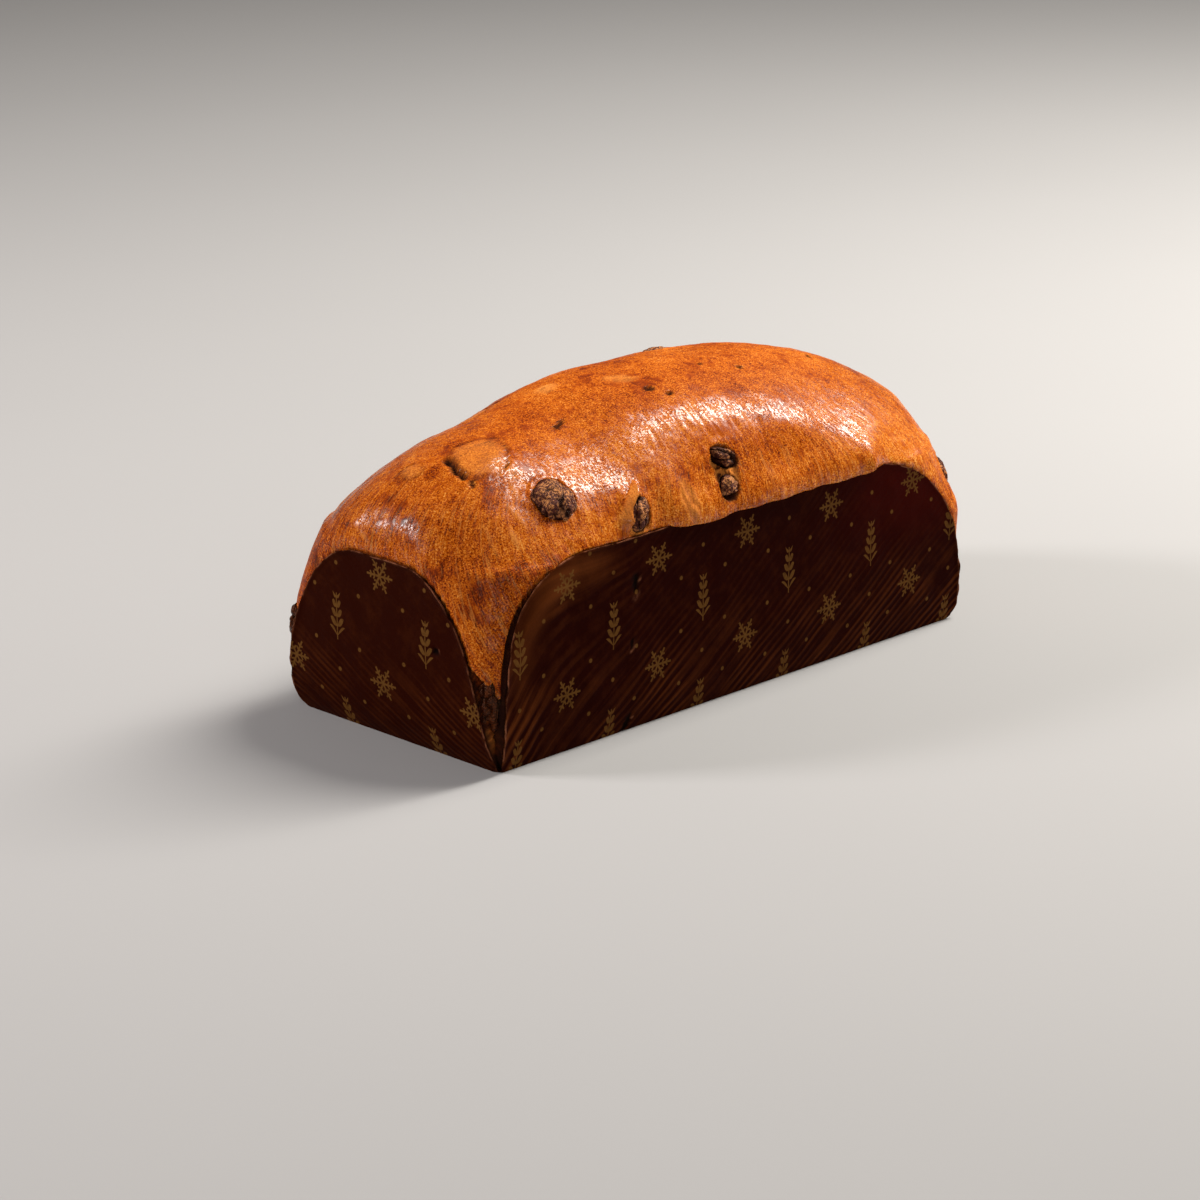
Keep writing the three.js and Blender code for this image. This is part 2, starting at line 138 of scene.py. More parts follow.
@dataclass(frozen=True)
class LoafForm:
    """The smooth body that the crust and the paper both follow.

    Its level sections are rectangles with round corners. They flare from the base
    to the shoulder, and shrink over the crown, which has a shallow waist.
    """

    length: float = 244.6
    width: float = 103.4
    base_corner: float = 3.0
    shoulder: float = 70.0
    crown: float = 44.8
    corner_x: float = 41.0
    corner_y: float = 33.4
    corner_growth: float = 2.5
    corner_power: float = 1.82
    flare: Triple = (5.5, 7.2, 3.0)
    flare_power: float = 5.9
    crown_power: Triple = (0.95, 0.924, 0.911)
    crown_rounding: float = 0.715
    waist_x: float = -60.0
    waist_width: float = 28.0
    waist_depth: float = 4.05
    waist_foot: float = 60.0
    waist_span: float = 40.0
    waist_squeeze: float = 0.011
    wall_samples: int = 12
    corner_samples: int = 160

    @property
    def centre_shift(self) -> float:
        """How far the frame's origin lies from the base's middle along X."""
        return (self.flare[1] - self.flare[0]) / 2

    @property
    def climb_limit(self) -> float:
        """The climb at the very top of the crown."""
        return self.shoulder + self.crown * math.pi / 2

    def height(self, climb: Array) -> Array:
        """Height of the ring at a climb, which is the way walked up the skin."""
        angle = np.clip((climb - self.shoulder) / self.crown, 0.0, math.pi / 2)
        return np.minimum(climb, self.shoulder) + self.crown * np.sin(angle)

    def climb(self, height: Array) -> Array:
        """Climb of the ring at a height."""
        sine = np.clip((height - self.shoulder) / self.crown, 0.0, 1.0)
        return np.minimum(height, self.shoulder) + self.crown * np.arcsin(sine)

    def pinch(self, points: Array) -> Array:
        """Points with the crown's waist pressed in."""
        x, y, z = np.moveaxis(points, -1, 0)
        rise = np.clip((z - self.waist_foot) / self.waist_span, 0.0, 1.0)
        dip = self.waist_depth * bell(x - self.waist_x, self.waist_width) * rise
        return np.stack([x, y * (1 - self.waist_squeeze * dip), z - dip], axis=-1)

    def place(self, height: float, round_: float) -> Place:
        """The place on the skin at a height and a distance round it.

        Args:
            height: Height of the ring before the waist is pressed in.
            round_: Distance round the ring from the front's middle.

        Returns:
            The place with its directions.
        """
        climb = float(self.climb(np.array(height)))
        skin = Skin(self, np.array([climb - 1, climb, climb + 1]))
        share = round_ / skin.whole[1]
        middle = skin.at(np.outer(skin.whole, [share]))[:, 0]
        beside = Skin(self, np.array([climb])).at(np.array([[round_ - 1, round_ + 1]]))[0]
        level = unit(beside[1] - beside[0])
        outward = unit(np.cross(level, middle[2] - middle[0]))
        return Place(middle[1], level, np.cross(outward, level), outward)


class Skin:
    """Rings of the body at given climbs, ready to be walked round."""

    def __init__(self, form: LoafForm, climbs: Array) -> None:
        """Draws the rings.

        Args:
            form: The body.
            climbs: Climb of each ring.
        """
        self.form = form
        self.heights = form.height(climbs)
        rise = np.clip(self.heights / form.shoulder, 0.0, 1.0)
        flare = 1 - (1 - rise) ** form.flare_power
        growth = rise**form.corner_growth
        sine = np.clip((self.heights - form.shoulder) / form.crown, 0.0, 1.0)
        cosine = np.sqrt(1 - sine * sine)
        half = (form.length / 2, form.length / 2, form.width / 2)
        sizes, corners = [], []
        for i, widest in enumerate((form.corner_x, form.corner_x, form.corner_y)):
            wall = half[i] + form.flare[i] * flare
            share = (form.base_corner + (widest - form.base_corner) * growth) / wall
            size = wall * cosine ** form.crown_power[i]
            sizes.append(size)
            corners.append(size * (share + (1 - share) * sine**form.crown_rounding))
        right = self._quarter(sizes[0], sizes[2], corners[0], corners[2])
        left = self._quarter(sizes[1], sizes[2], corners[1], corners[2])
        self.ring = np.concatenate(
            [
                right[:, :-1] * (1, -1),
                right[:, :0:-1],
                left[:, :-1] * (-1, 1),
                left[:, :0:-1] * (-1, -1),
            ],
            axis=1,
        )
        self.right_span = np.linalg.norm(np.diff(right, axis=1), axis=2).sum(1)
        closed = np.concatenate([self.ring, self.ring[:, :1]], axis=1)
        steps = np.linalg.norm(np.diff(closed, axis=1), axis=2)
        self.walked = np.concatenate([np.zeros((len(steps), 1)), np.cumsum(steps, axis=1)], axis=1)
        self.whole = self.walked[:, -1]

    def _quarter(self, reach: Array, side: Array, corner_reach: Array, corner_side: Array) -> Array:
        """A quarter of each ring, from the long wall's middle to the end wall's.

        Args:
            reach: Half length of each ring.
            side: Half width of each ring.
            corner_reach: Corner radius along the length.
            corner_side: Corner radius along the width.

        Returns:
            Points with x and y along the last axis.
        """
        form = self.form
        step = np.linspace(0, 1, form.wall_samples, endpoint=False)
        turn = np.linspace(math.pi / 2, 0, form.corner_samples + 1)
        bend = 2 / form.corner_power
        straight = (reach - corner_reach)[:, None]
        flat = (side - corner_side)[:, None]
        ones = np.ones_like(step)
        down = 1 - step - 1 / form.wall_samples
        bend_x = straight + corner_reach[:, None] * np.cos(turn) ** bend
        bend_y = flat + corner_side[:, None] * np.sin(turn) ** bend
        x = [straight * step, bend_x, reach[:, None] * ones]
        y = [side[:, None] * ones, bend_y, flat * down]
        return np.stack([np.concatenate(x, axis=1), np.concatenate(y, axis=1)], axis=-1)

    def middles(self) -> list[Array]:
        """Where the front, right, back and left walls have their middles on each ring."""
        right = self.right_span
        return [np.zeros_like(right), right, 2 * right, (self.whole + 2 * right) / 2]

    def at(self, rounds: Array, offset: Array | float = 0.0) -> Array:
        """Points of each ring at distances round it, moved outward by an offset.

        Args:
            rounds: Distances, one row for each ring.
            offset: How far each point stands off the skin.

        Returns:
            Points with x, y and z along the last axis.
        """
        target = rounds % self.whole[:, None]
        closed = np.concatenate([self.ring, self.ring[:, :1]], axis=1)
        run = np.roll(self.ring, -1, axis=1) - np.roll(self.ring, 1, axis=1)
        run = unit(np.concatenate([run, run[:, :1]], axis=1))
        flat = np.empty(rounds.shape + (2,))
        tangent = np.empty_like(flat)
        for row, walked in enumerate(self.walked):
            for axis in range(2):
                flat[row, :, axis] = np.interp(target[row], walked, closed[row, :, axis])
                tangent[row, :, axis] = np.interp(target[row], walked, run[row, :, axis])
        outward = unit(np.stack([tangent[..., 1], -tangent[..., 0]], axis=-1))
        flat += outward * np.broadcast_to(offset, rounds.shape)[..., None]
        height = np.broadcast_to(self.heights[:, None], rounds.shape)
        return self.form.pinch(np.concatenate([flat, height[..., None]], axis=-1))


FORM = LoafForm()


class Wall(IntEnum):
    """The loaf's four walls, in the order in which the skin is walked round."""

    FRONT = 0
    RIGHT = 1
    BACK = 2
    LEFT = 3

    @property
    def is_long(self) -> bool:
        """Whether it is one of the two long walls."""
        return self in (Wall.FRONT, Wall.BACK)


@dataclass(frozen=True)
class FlapEdge:
    """One side edge of a flap: its half width at the top, its roundness and its heel."""

    top: float
    power: float
    heel: float


@dataclass(frozen=True)
class Flap:
    """The outline of one of the case's four walls, unrolled."""

    wall: Wall
    height: float
    foot: float
    left: FlapEdge
    right: FlapEdge
    heel_height: float = 6.0
    outline_points: int = 90

    def edge(self, side: FlapEdge, height: Array) -> Array:
        """Half width of the flap at a height, on one side."""
        rise = np.clip(height / self.height, 0.0, 1.0)
        low = np.clip(1 - height / self.heel_height, 0.0, 1.0)
        return side.top + (self.foot - side.top) * np.sqrt(1 - rise**side.power) - side.heel * low**2

    def depth(self, along: Array, height: Array) -> Array:
        """Distance to the flap's edge, positive inside it.

        Args:
            along: Distance from the flap's middle, round the skin.
            height: Height of each place.

        Returns:
            The distance for each place.
        """
        levels = self.height * np.sin(np.linspace(0, math.pi / 2, self.outline_points))
        left = np.stack([-self.edge(self.left, levels), levels], axis=-1)
        right = np.stack([self.edge(self.right, levels), levels], axis=-1)
        outline = np.concatenate([left, right[::-1]])
        start, run = outline[:-1], np.diff(outline, axis=0)
        nearest = np.full(along.shape, np.inf)
        for (sx, sy), (rx, ry) in zip(start, run):
            share = ((along - sx) * rx + (height - sy) * ry) / (rx * rx + ry * ry)
            share = np.clip(share, 0.0, 1.0)
            nearest = np.minimum(nearest, np.hypot(along - sx - share * rx, height - sy - share * ry))
        inside = (height < self.height) & (along > -self.edge(self.left, height))
        inside &= along < self.edge(self.right, height)
        return np.where(inside, nearest, -nearest)


LONG_LEFT = FlapEdge(77.0, 4.0, 1.2)
LONG_RIGHT = FlapEdge(60.0, 3.0, 4.0)
END_NEAR = FlapEdge(12.0, 2.0, 0.8)
END_FAR = FlapEdge(12.0, 2.0, 4.0)
FLAPS = (
    Flap(Wall.FRONT, 73.5, 122.0, LONG_LEFT, LONG_RIGHT),
    Flap(Wall.RIGHT, 68.5, 51.3, END_NEAR, END_FAR),
    Flap(Wall.BACK, 73.5, 122.0, LONG_LEFT, LONG_RIGHT),
    Flap(Wall.LEFT, 68.5, 51.3, END_FAR, END_NEAR),
)
CORNERS = tuple((FLAPS[long], FLAPS[end]) for long, end in ((0, 1), (2, 1), (2, 3), (0, 3)))


def mesh_object(name: str, points: Array, faces: list, traces: dict[str, Array]) -> bpy.types.Object:
    """A smooth-shaded object from points in millimetres about the base's middle.

    Args:
        name: Name of the piece.
        points: One row of x, y and z for each vertex.
        faces: Vertex numbers of each face.
        traces: Values or vectors that each vertex carries for its finish.

    Returns:
        The object, linked into the scene.
    """
    mesh = bpy.data.meshes.new(name)
    placed = (points + (FORM.centre_shift, 0.0, 0.0)) * METRE
    mesh.from_pydata(placed.tolist(), [], faces)
    for trace, values in traces.items():
        vector = values.ndim == 2
        kind = "FLOAT_VECTOR" if vector else "FLOAT"
        layer = mesh.attributes.new(trace, kind, "POINT")
        layer.data.foreach_set("vector" if vector else "value", values.astype(np.float32).ravel())
    mesh.shade_smooth()
    piece = bpy.data.objects.new(name, mesh)
    bpy.context.scene.collection.objects.link(piece)
    return piece


def settle(piece: bpy.types.Object, node: str, slot: str, *finishes: bpy.types.Material) -> None:
    """Dresses a piece, and lets it ride with the loaf and stand for a CAD node."""
    for finish in finishes:
        piece.data.materials.append(finish)
    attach(piece, BODY)
    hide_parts(node)
    LOG.info("%s: %d faces, for %s", piece.name, len(piece.data.polygons), node)


def grid_faces(rows: int, columns: int, start: int = 0) -> list:
    """Quads between rings of equal count, wound outward on a ring walked anticlockwise."""
    row = np.arange(rows - 1)[:, None] * columns + start
    column = np.arange(columns)
    beside = (column + 1) % columns
    quads = np.stack([row + column, row + beside, row + columns + beside, row + columns + column], axis=-1)
    return quads.reshape(-1, 4).tolist()


# ---- Shading ----


class Shader:
    """A material's or a group's node tree, built by short calls."""

    def __init__(self, tree: bpy.types.NodeTree, groups: "Groups | None" = None) -> None:
        """Takes an empty tree, and the shared node groups that it may use."""
        self.tree = tree
        self.groups = groups

    def node(self, kind: str, inputs: dict | None = None, **settings: object) -> bpy.types.Node:
        """Adds a node.

        Args:
            kind: Blender's name of the node type.
            inputs: Numbers, colours or sockets for its inputs, by name or number.
            settings: The node's own properties.

        Returns:
            The node.
        """
        node = self.tree.nodes.new(kind)
        for name, value in settings.items():
            setattr(node, name, value)
        self.fill(node, inputs or {})
        return node

    def fill(self, node: bpy.types.Node, inputs: dict) -> None:
        """Links or sets a node's inputs, by name or number."""
        for name, value in inputs.items():
            self.feed(node.inputs[name], value)

    def feed(self, socket: Socket, value: object) -> None:
        """Links a socket, or sets its number, vector or colour."""
        if isinstance(value, bpy.types.NodeSocket):
            self.tree.links.new(value, socket)
        elif socket.type == "RGBA":
            socket.default_value = (*value, 1.0)
        else:
            socket.default_value = value

    def math(self, kind: str, *values: object, clamp: bool = False) -> Socket:
        """The result of a Math node."""
        inputs = dict(enumerate(values))
        return self.node("ShaderNodeMath", inputs, operation=kind, use_clamp=clamp).outputs[0]

    def times(self, first: object, second: object) -> Socket:
        """Two values multiplied."""
        return self.math("MULTIPLY", first, second)

    def plus(self, base: object, value: object, weight: object, clamp: bool = False) -> Socket:
        """A value times its weight, added to a base."""
        return self.math("MULTIPLY_ADD", value, weight, base, clamp=clamp)

    def most(self, first: object, second: object) -> Socket:
        """The larger of two values."""
        return self.math("MAXIMUM", first, second)

    def less(self, first: object, second: object) -> Socket:
        """A value with another taken off it."""
        return self.math("SUBTRACT", first, second)

    def centred(self, value: object) -> Socket:
        """A value between 0 and 1, moved to between -0.5 and 0.5."""
        return self.less(value, 0.5)

    def size(self, value: object) -> Socket:
        """A value without its sign."""
        return self.math("ABSOLUTE", value)

    def from_nearest(self, value: object) -> Socket:
        """How far a value lies from the nearest whole number."""
        return self.less(value, self.math("ROUND", value))

    def away(self, x: object, y: object) -> Socket:
        """Distance of a point from the middle."""
        return self.math("SQRT", self.plus(self.times(y, y), x, x))

    def parts(self, vector: object) -> list[Socket]:
        """The three numbers of a vector."""
        return list(self.node("ShaderNodeSeparateXYZ", {0: vector}).outputs)

    def joined(self, x: object, y: object, z: object) -> Socket:
        """A vector from three numbers."""
        return self.node("ShaderNodeCombineXYZ", {0: x, 1: y, 2: z}).outputs[0]

    def span(self, value: object, low: float, high: float, to: Pair = (0.0, 1.0)) -> Socket:
        """A value mapped smoothly from one range to another."""
        inputs = {"Value": value, "From Min": low, "From Max": high, "To Min": to[0], "To Max": to[1]}
        return self.node("ShaderNodeMapRange", inputs, interpolation_type="SMOOTHSTEP").outputs[0]

    def within(self, value: object, edge: float, softness: float) -> Socket:
        """1 up to an edge and 0 past it, soft over a share of the edge."""
        return self.span(value, edge * (1 - softness), edge * (1 + softness), (1.0, 0.0))

    def blend(self, share: object, first: object, second: object) -> Socket:
        """Two colours mixed by a share."""
        return self.node("ShaderNodeMix", {0: share, 6: first, 7: second}, data_type="RGBA").outputs[2]

    def noise(self, vector: object, scale: float, detail: float = 3.0, rough: float = 0.55) -> Socket:
        """Noise between 0 and 1 over a vector."""
        inputs = {"Vector": vector, "Scale": scale, "Detail": detail, "Roughness": rough}
        return self.node("ShaderNodeTexNoise", inputs).outputs["Fac"]

    def patches(self, place: Socket, scale: float, contrast: float) -> Socket:
        """Soft mottling over a place, between 0 and 1."""
        inputs = {"Place": place, "Scale": scale, "Contrast": contrast}
        return self.node("ShaderNodeGroup", inputs, node_tree=self.groups.mottling).outputs[0]

    def lines(self, place: Socket, width: float, length: float) -> Socket:
        """Fine strokes over a place, between 0 and 1."""
        inputs = {"Place": place, "Width": width, "Length": length}
        return self.node("ShaderNodeGroup", inputs, node_tree=self.groups.strokes).outputs[0]

    def ramp(self, value: object, stops: tuple[tuple[float, Colour], ...]) -> Socket:
        """A colour picked along stops."""
        node = self.node("ShaderNodeValToRGB", {"Fac": value})
        elements = node.color_ramp.elements
        while len(elements) < len(stops):
            elements.new(0.5)
        for element, (place, colour) in zip(elements, stops):
            element.position = place
            element.color = (*colour, 1.0)
        return node.outputs["Color"]

    def trace(self, name: str, vector: bool = False) -> Socket:
        """What the vertices carry under a name."""
        node = self.node("ShaderNodeAttribute", attribute_name=name, attribute_type="GEOMETRY")
        return node.outputs["Vector" if vector else "Fac"]

    def place(self) -> Socket:
        """The place on the object, in metres."""
        return self.node("ShaderNodeTexCoord").outputs["Object"]

    def bump(self, height: Socket, distance: float) -> Socket:
        """A normal from a height, with the distance in metres."""
        return self.node("ShaderNodeBump", {"Height": height, "Distance": distance}).outputs["Normal"]


def new_group(
    name: str, numbers: dict[str, float], output: str
) -> tuple[Shader, dict[str, Socket], Socket]:
    """An empty node group that turns a place and some numbers into one number.

    Args:
        name: Name of the group.
        numbers: Default value of each number going in.
        output: Name of the number coming out.

    Returns:
        Its shader builder, its input sockets by name, and its output's socket.
    """
    tree = bpy.data.node_groups.new(name, "ShaderNodeTree")
    tree.interface.new_socket("Place", in_out="INPUT", socket_type="NodeSocketVector")
    for label, default in numbers.items():
        socket = tree.interface.new_socket(label, in_out="INPUT", socket_type="NodeSocketFloat")
        socket.default_value = default
    tree.interface.new_socket(output, in_out="OUTPUT", socket_type="NodeSocketFloat")
    shader = Shader(tree)
    entry = shader.node("NodeGroupInput")
    leave = shader.node("NodeGroupOutput")
    return shader, {label: entry.outputs[label] for label in ("Place", *numbers)}, leave.inputs[output]


def mottling_group() -> bpy.types.NodeTree:
    """Soft uneven patches with finer ones in them, from 0 to 1.

    Returns:
        The group, with a place, a scale and a contrast going in.
    """
    shader, entry, patches = new_group("soft_mottling", {"Scale": 60.0, "Contrast": 2.0}, "Patches")
    fine_scale = shader.times(entry["Scale"], 3.7)
    broad = shader.noise(entry["Place"], entry["Scale"], detail=4.0, rough=0.6)
    fine = shader.noise(entry["Place"], fine_scale, rough=0.6)
    both = shader.plus(shader.times(broad, 0.65), fine, 0.35)
    shader.feed(patches, shader.plus(0.5, shader.centred(both), entry["Contrast"], clamp=True))
    return shader.tree


def strokes_group() -> bpy.types.NodeTree:
    """Fine strokes that run along the third axis of the place, from 0 to 1.

    Returns:
        The group, with a place, a stroke's width and its length going in.
    """
    shader, entry, strokes = new_group("fine_strokes", {"Width": 0.001, "Length": 0.006}, "Strokes")
    across = shader.math("DIVIDE", 1.0, entry["Width"])
    along = shader.math("DIVIDE", 1.0, entry["Length"])
    stretch = {0: entry["Place"], 1: shader.joined(across, across, along)}
    stretched = shader.node("ShaderNodeVectorMath", stretch, operation="MULTIPLY").outputs[0]
    shader.feed(strokes, shader.noise(stretched, 1.0, rough=0.62))
    return shader.tree


class Groups:
    """The node groups that several materials share."""

    def __init__(self) -> None:
        """Builds each group once."""
        self.mottling = mottling_group()
        self.strokes = strokes_group()


def new_material(
    name: str, groups: Groups | None = None
) -> tuple[bpy.types.Material, Shader, bpy.types.Node]:
    """A material with a lone Principled shader.

    Args:
        name: Name of the finish.
        groups: The shared node groups, where it uses them.

    Returns:
        The material, its shader builder and the Principled node.
    """
    material = bpy.data.materials.new(name)
    material.use_nodes = True
    material.node_tree.nodes.clear()
    shader = Shader(material.node_tree, groups)
    surface = shader.node("ShaderNodeBsdfPrincipled")
    output = shader.node("ShaderNodeOutputMaterial")
    shader.feed(output.inputs["Surface"], surface.outputs["BSDF"])
    return material, shader, surface


class Trace(Enum):
    """What the crust's vertices carry for its finish."""

    # How dark the skin is, with painted shade in a band under the front shoulder, on the back of the left
    # end and behind the paper.
    TOAST_AND_SHADE = "toast_and_shade"
    CRUMB = "crumb"
    # Near-black for charred crumb, and painted shade in pits, cracks, troughs, gaps, round the fruit and
    # behind the paper.
    CHAR_AND_SHADE = "char"
    # Pale skin and crumb, and painted glints at the torn corner.
    BARE_AND_GLINTS = "bare_and_glints"
    COMB = "comb"
    DULL = "dull"
    SLOPE = "slope"


@dataclass(frozen=True)
class SkinPatterns:
    """The noises and traces that the crust's colour, gloss and relief all follow."""

    place: Socket
    strokes: Socket
    crinkle: Socket
    streaks: Socket
    speckle: Socket
    grain: Socket
    blotch: Socket
    wash: Socket
    crumb: Socket
    char: Socket


@dataclass(frozen=True)
class CrustFinish:
    """Egg-washed baked dough: golden to mahogany, speckled, with strokes down the slope.

    Smooth patches of thicker wash are deeper in tone and shine more. Everywhere else
    a fine grain and crinkles break up what the skin mirrors. Strokes, crinkles and
    streaks have a width and a length in metres, and a scale is in grains to a metre.
    Each span is where a noise starts to count and where it counts in full.
    """

    name: str = "baked_crust"
    tones: tuple[tuple[float, Colour], ...] = (
        (0.0, (0.95, 0.46, 0.12)),
        (0.25, (0.82, 0.25, 0.026)),
        (0.5, (0.60, 0.126, 0.005)),
        (0.75, (0.33, 0.046, 0.002)),
        (1.0, (0.09, 0.009, 0.001)),
    )
    # Pale colour of bare and lifted skin, also used for painted glints.
    bare_and_glints: Colour = (0.86, 0.31, 0.06)
    crumb_tones: tuple[tuple[float, Colour], ...] = (
        (0.3, (0.035, 0.005, 0.001)),
        (0.7, (0.17, 0.03, 0.004)),
    )
    crumb_scale: float = 420.0
    crumb_contrast: float = 2.4
    # Near-black used for charred crumb and for the painted shade in hollows, cracks, gaps and round the
    # fruit.
    char: Colour = (0.022, 0.007, 0.005)
    char_and_shade_share: float = 0.95
    stroke: Pair = (0.00055, 0.0042)
    stroke_tone: float = 0.9
    stroke_relief: float = 0.05
    crinkle: Pair = (0.0017, 0.0045)
    crinkle_tone: float = 0.25
    crinkle_relief: float = 0.26
    crinkle_roughness: float = 0.3
    crinkle_glint: float = 0.8
    crinkled_scale: float = 38.0
    crinkled_span: Pair = (0.42, 0.62)
    least_crinkled: float = 0.3
    streak: Pair = (0.0011, 0.013)
    streak_tone: float = 0.65
    pulled_span: Pair = (0.55, 0.66)
    pulled_share: float = 0.55
    speckle_scale: float = 1750.0
    speckle_tone: float = 2.3
    speckle_relief: float = 0.06
    speckle_span: Pair = (0.35, 0.65)
    speckle_share: float = 0.45
    blotch_scale: float = 330.0
    blotch_tone: float = 0.5
    crazing_scale: float = 680.0
    crazing_relief: float = -0.26
    wash_scale: float = 85.0
    wash_contrast: float = 2.0
    wash_span: Pair = (0.5, 0.8)
    wash_tone: float = 0.17
    wash_calm: float = -0.75
    wash_glint: float = 0.25
    reflection: float = 0.05
    reflection_tint: Colour = (1.0, 0.88, 0.70)
    roughness: float = 0.28
    dull_roughness: float = 0.5
    dull_share: float = 0.65
    glaze: float = 1.0
    glaze_roughness: float = 0.23
    glaze_tint: Colour = (1.0, 0.95, 0.86)
    glint_scale: float = 1150.0
    glint_span: Pair = (0.50, 0.59)
    relief: float = 0.001

    def material(self, groups: Groups) -> bpy.types.Material:
        """Builds the crust's material.

        Args:
            groups: The shared node groups.

        Returns:
            The material.
        """
        material, shader, surface = new_material(self.name, groups)
        skin = self.patterns(shader)
        inputs = self.shine(shader, skin)
        inputs["Base Color"] = self.colour(shader, skin)
        inputs["Normal"] = shader.bump(self.height(shader, skin), self.relief)
        shader.fill(surface, inputs)
        return material

    def patterns(self, shader: Shader) -> SkinPatterns:
        """The skin's patterns: strokes run down the walls, and across the loaf on its crown.

        Args:
            shader: The material's builder.

        Returns:
            The patterns.
        """
        place = shader.place()
        slope = shader.trace(Trace.SLOPE.value, vector=True)
        combed = shader.trace(Trace.COMB.value)
        x, y, _ = shader.parts(place)
        strokes = shader.lines(slope, *self.stroke)
        crown = shader.lines(shader.joined(x, 0.0, y), *self.crinkle)
        wall = shader.lines(slope, *self.crinkle)
        streaks = shader.lines(slope, *self.streak)
        speckle = shader.noise(place, self.speckle_scale, rough=0.7)
        patches = shader.patches(place, self.wash_scale, self.wash_contrast)
        wash = shader.span(patches, *self.wash_span)
        return SkinPatterns(
            place=place,
            strokes=shader.times(shader.centred(strokes), combed),
            crinkle=shader.plus(crown, shader.less(wall, crown), combed),
            streaks=shader.plus(0.5, shader.centred(streaks), combed),
            speckle=speckle,
            grain=shader.times(shader.centred(speckle), shader.plus(1.0, wash, self.wash_calm)),
            blotch=shader.noise(place, self.blotch_scale, rough=0.6),
            wash=wash,
            crumb=shader.trace(Trace.CRUMB.value),
            char=shader.trace(Trace.CHAR_AND_SHADE.value),
        )

    def colour(self, shader: Shader, skin: SkinPatterns) -> Socket:
        """The skin's colour, with its pale, torn and charred places, painted glints at the torn corner, and
        painted shade in its hollows, cracks and gaps.

        Args:
            shader: The material's builder.
            skin: The skin's patterns.

        Returns:
            The colour.
        """
        tone = shader.trace(Trace.TOAST_AND_SHADE.value)
        tone = shader.plus(tone, skin.wash, self.wash_tone)
        tone = shader.plus(tone, skin.grain, self.speckle_tone)
        tone = shader.plus(tone, skin.strokes, self.stroke_tone)
        tone = shader.plus(tone, shader.centred(skin.crinkle), self.crinkle_tone)
        tone = shader.plus(tone, shader.centred(skin.blotch), self.blotch_tone)
        tone = shader.plus(tone, shader.centred(skin.streaks), self.streak_tone)
        baked = shader.ramp(tone, self.tones)
        bare_and_glints = shader.trace(Trace.BARE_AND_GLINTS.value)
        speckled = shader.span(skin.speckle, *self.speckle_span, (0.0, self.speckle_share))
        lifted = shader.blend(speckled, self.bare_and_glints, baked)
        pulled = shader.times(shader.span(skin.streaks, *self.pulled_span), self.pulled_share)
        whole = shader.blend(shader.most(bare_and_glints, pulled), baked, lifted)
        inside = shader.patches(skin.place, self.crumb_scale, self.crumb_contrast)
        inside = shader.blend(bare_and_glints, shader.ramp(inside, self.crumb_tones), lifted)
        torn = shader.blend(skin.crumb, whole, inside)
        # Near-black over charred crumb and over the painted shade in pits, cracks, troughs, gaps and round
        # the fruit.
        return shader.blend(shader.times(skin.char, self.char_and_shade_share), torn, self.char)

    def shine(self, shader: Shader, skin: SkinPatterns) -> dict:
        """The skin's gloss, and the wash's glints over it.

        Args:
            shader: The material's builder.
            skin: The skin's patterns.

        Returns:
            What the surface's inputs get, by name.
        """
        ruffled = shader.centred(skin.crinkle)
        gloss = shader.plus(self.roughness, ruffled, self.crinkle_roughness)
        dull = shader.times(shader.trace(Trace.DULL.value), self.dull_share)
        dull = shader.most(shader.most(skin.crumb, skin.char), dull)
        glints = shader.noise(skin.place, self.glint_scale, rough=0.7)
        glints = shader.span(shader.plus(glints, ruffled, self.crinkle_glint), *self.glint_span)
        glints = shader.most(glints, shader.times(skin.wash, self.wash_glint))
        glints = shader.times(glints, shader.less(1.0, dull))
        return {
            "Roughness": shader.plus(gloss, dull, self.dull_roughness, clamp=True),
            "Specular Tint": self.reflection_tint,
            "Specular IOR Level": self.reflection,
            "Coat Weight": shader.times(glints, self.glaze),
            "Coat Roughness": self.glaze_roughness,
            "Coat Tint": self.glaze_tint,
        }

    def height(self, shader: Shader, skin: SkinPatterns) -> Socket:
        """The skin's finest relief: crinkles and crazing in patches, with strokes and grain.

        Args:
            shader: The material's builder.
            skin: The skin's patterns.

        Returns:
            The height.
        """
        patches = shader.noise(skin.place, self.crinkled_scale, detail=2.0)
        crinkled = shader.span(patches, *self.crinkled_span, (self.least_crinkled, 1.0))
        crazing = shader.noise(skin.place, self.crazing_scale, detail=2.0, rough=0.5)
        crazing = shader.size(shader.centred(crazing))
        height = shader.plus(shader.times(skin.crinkle, self.crinkle_relief), crazing, self.crazing_relief)
        height = shader.times(height, crinkled)
        height = shader.plus(height, skin.strokes, self.stroke_relief)
        return shader.plus(height, skin.grain, self.speckle_relief)


# A duller finish for torn, charred and covered places, and for places painted with shade.
DRY_CRUMB_AND_SHADE = CrustFinish(name="dry_crumb_and_shade", reflection=0.06, roughness=0.7, glaze=0.0)


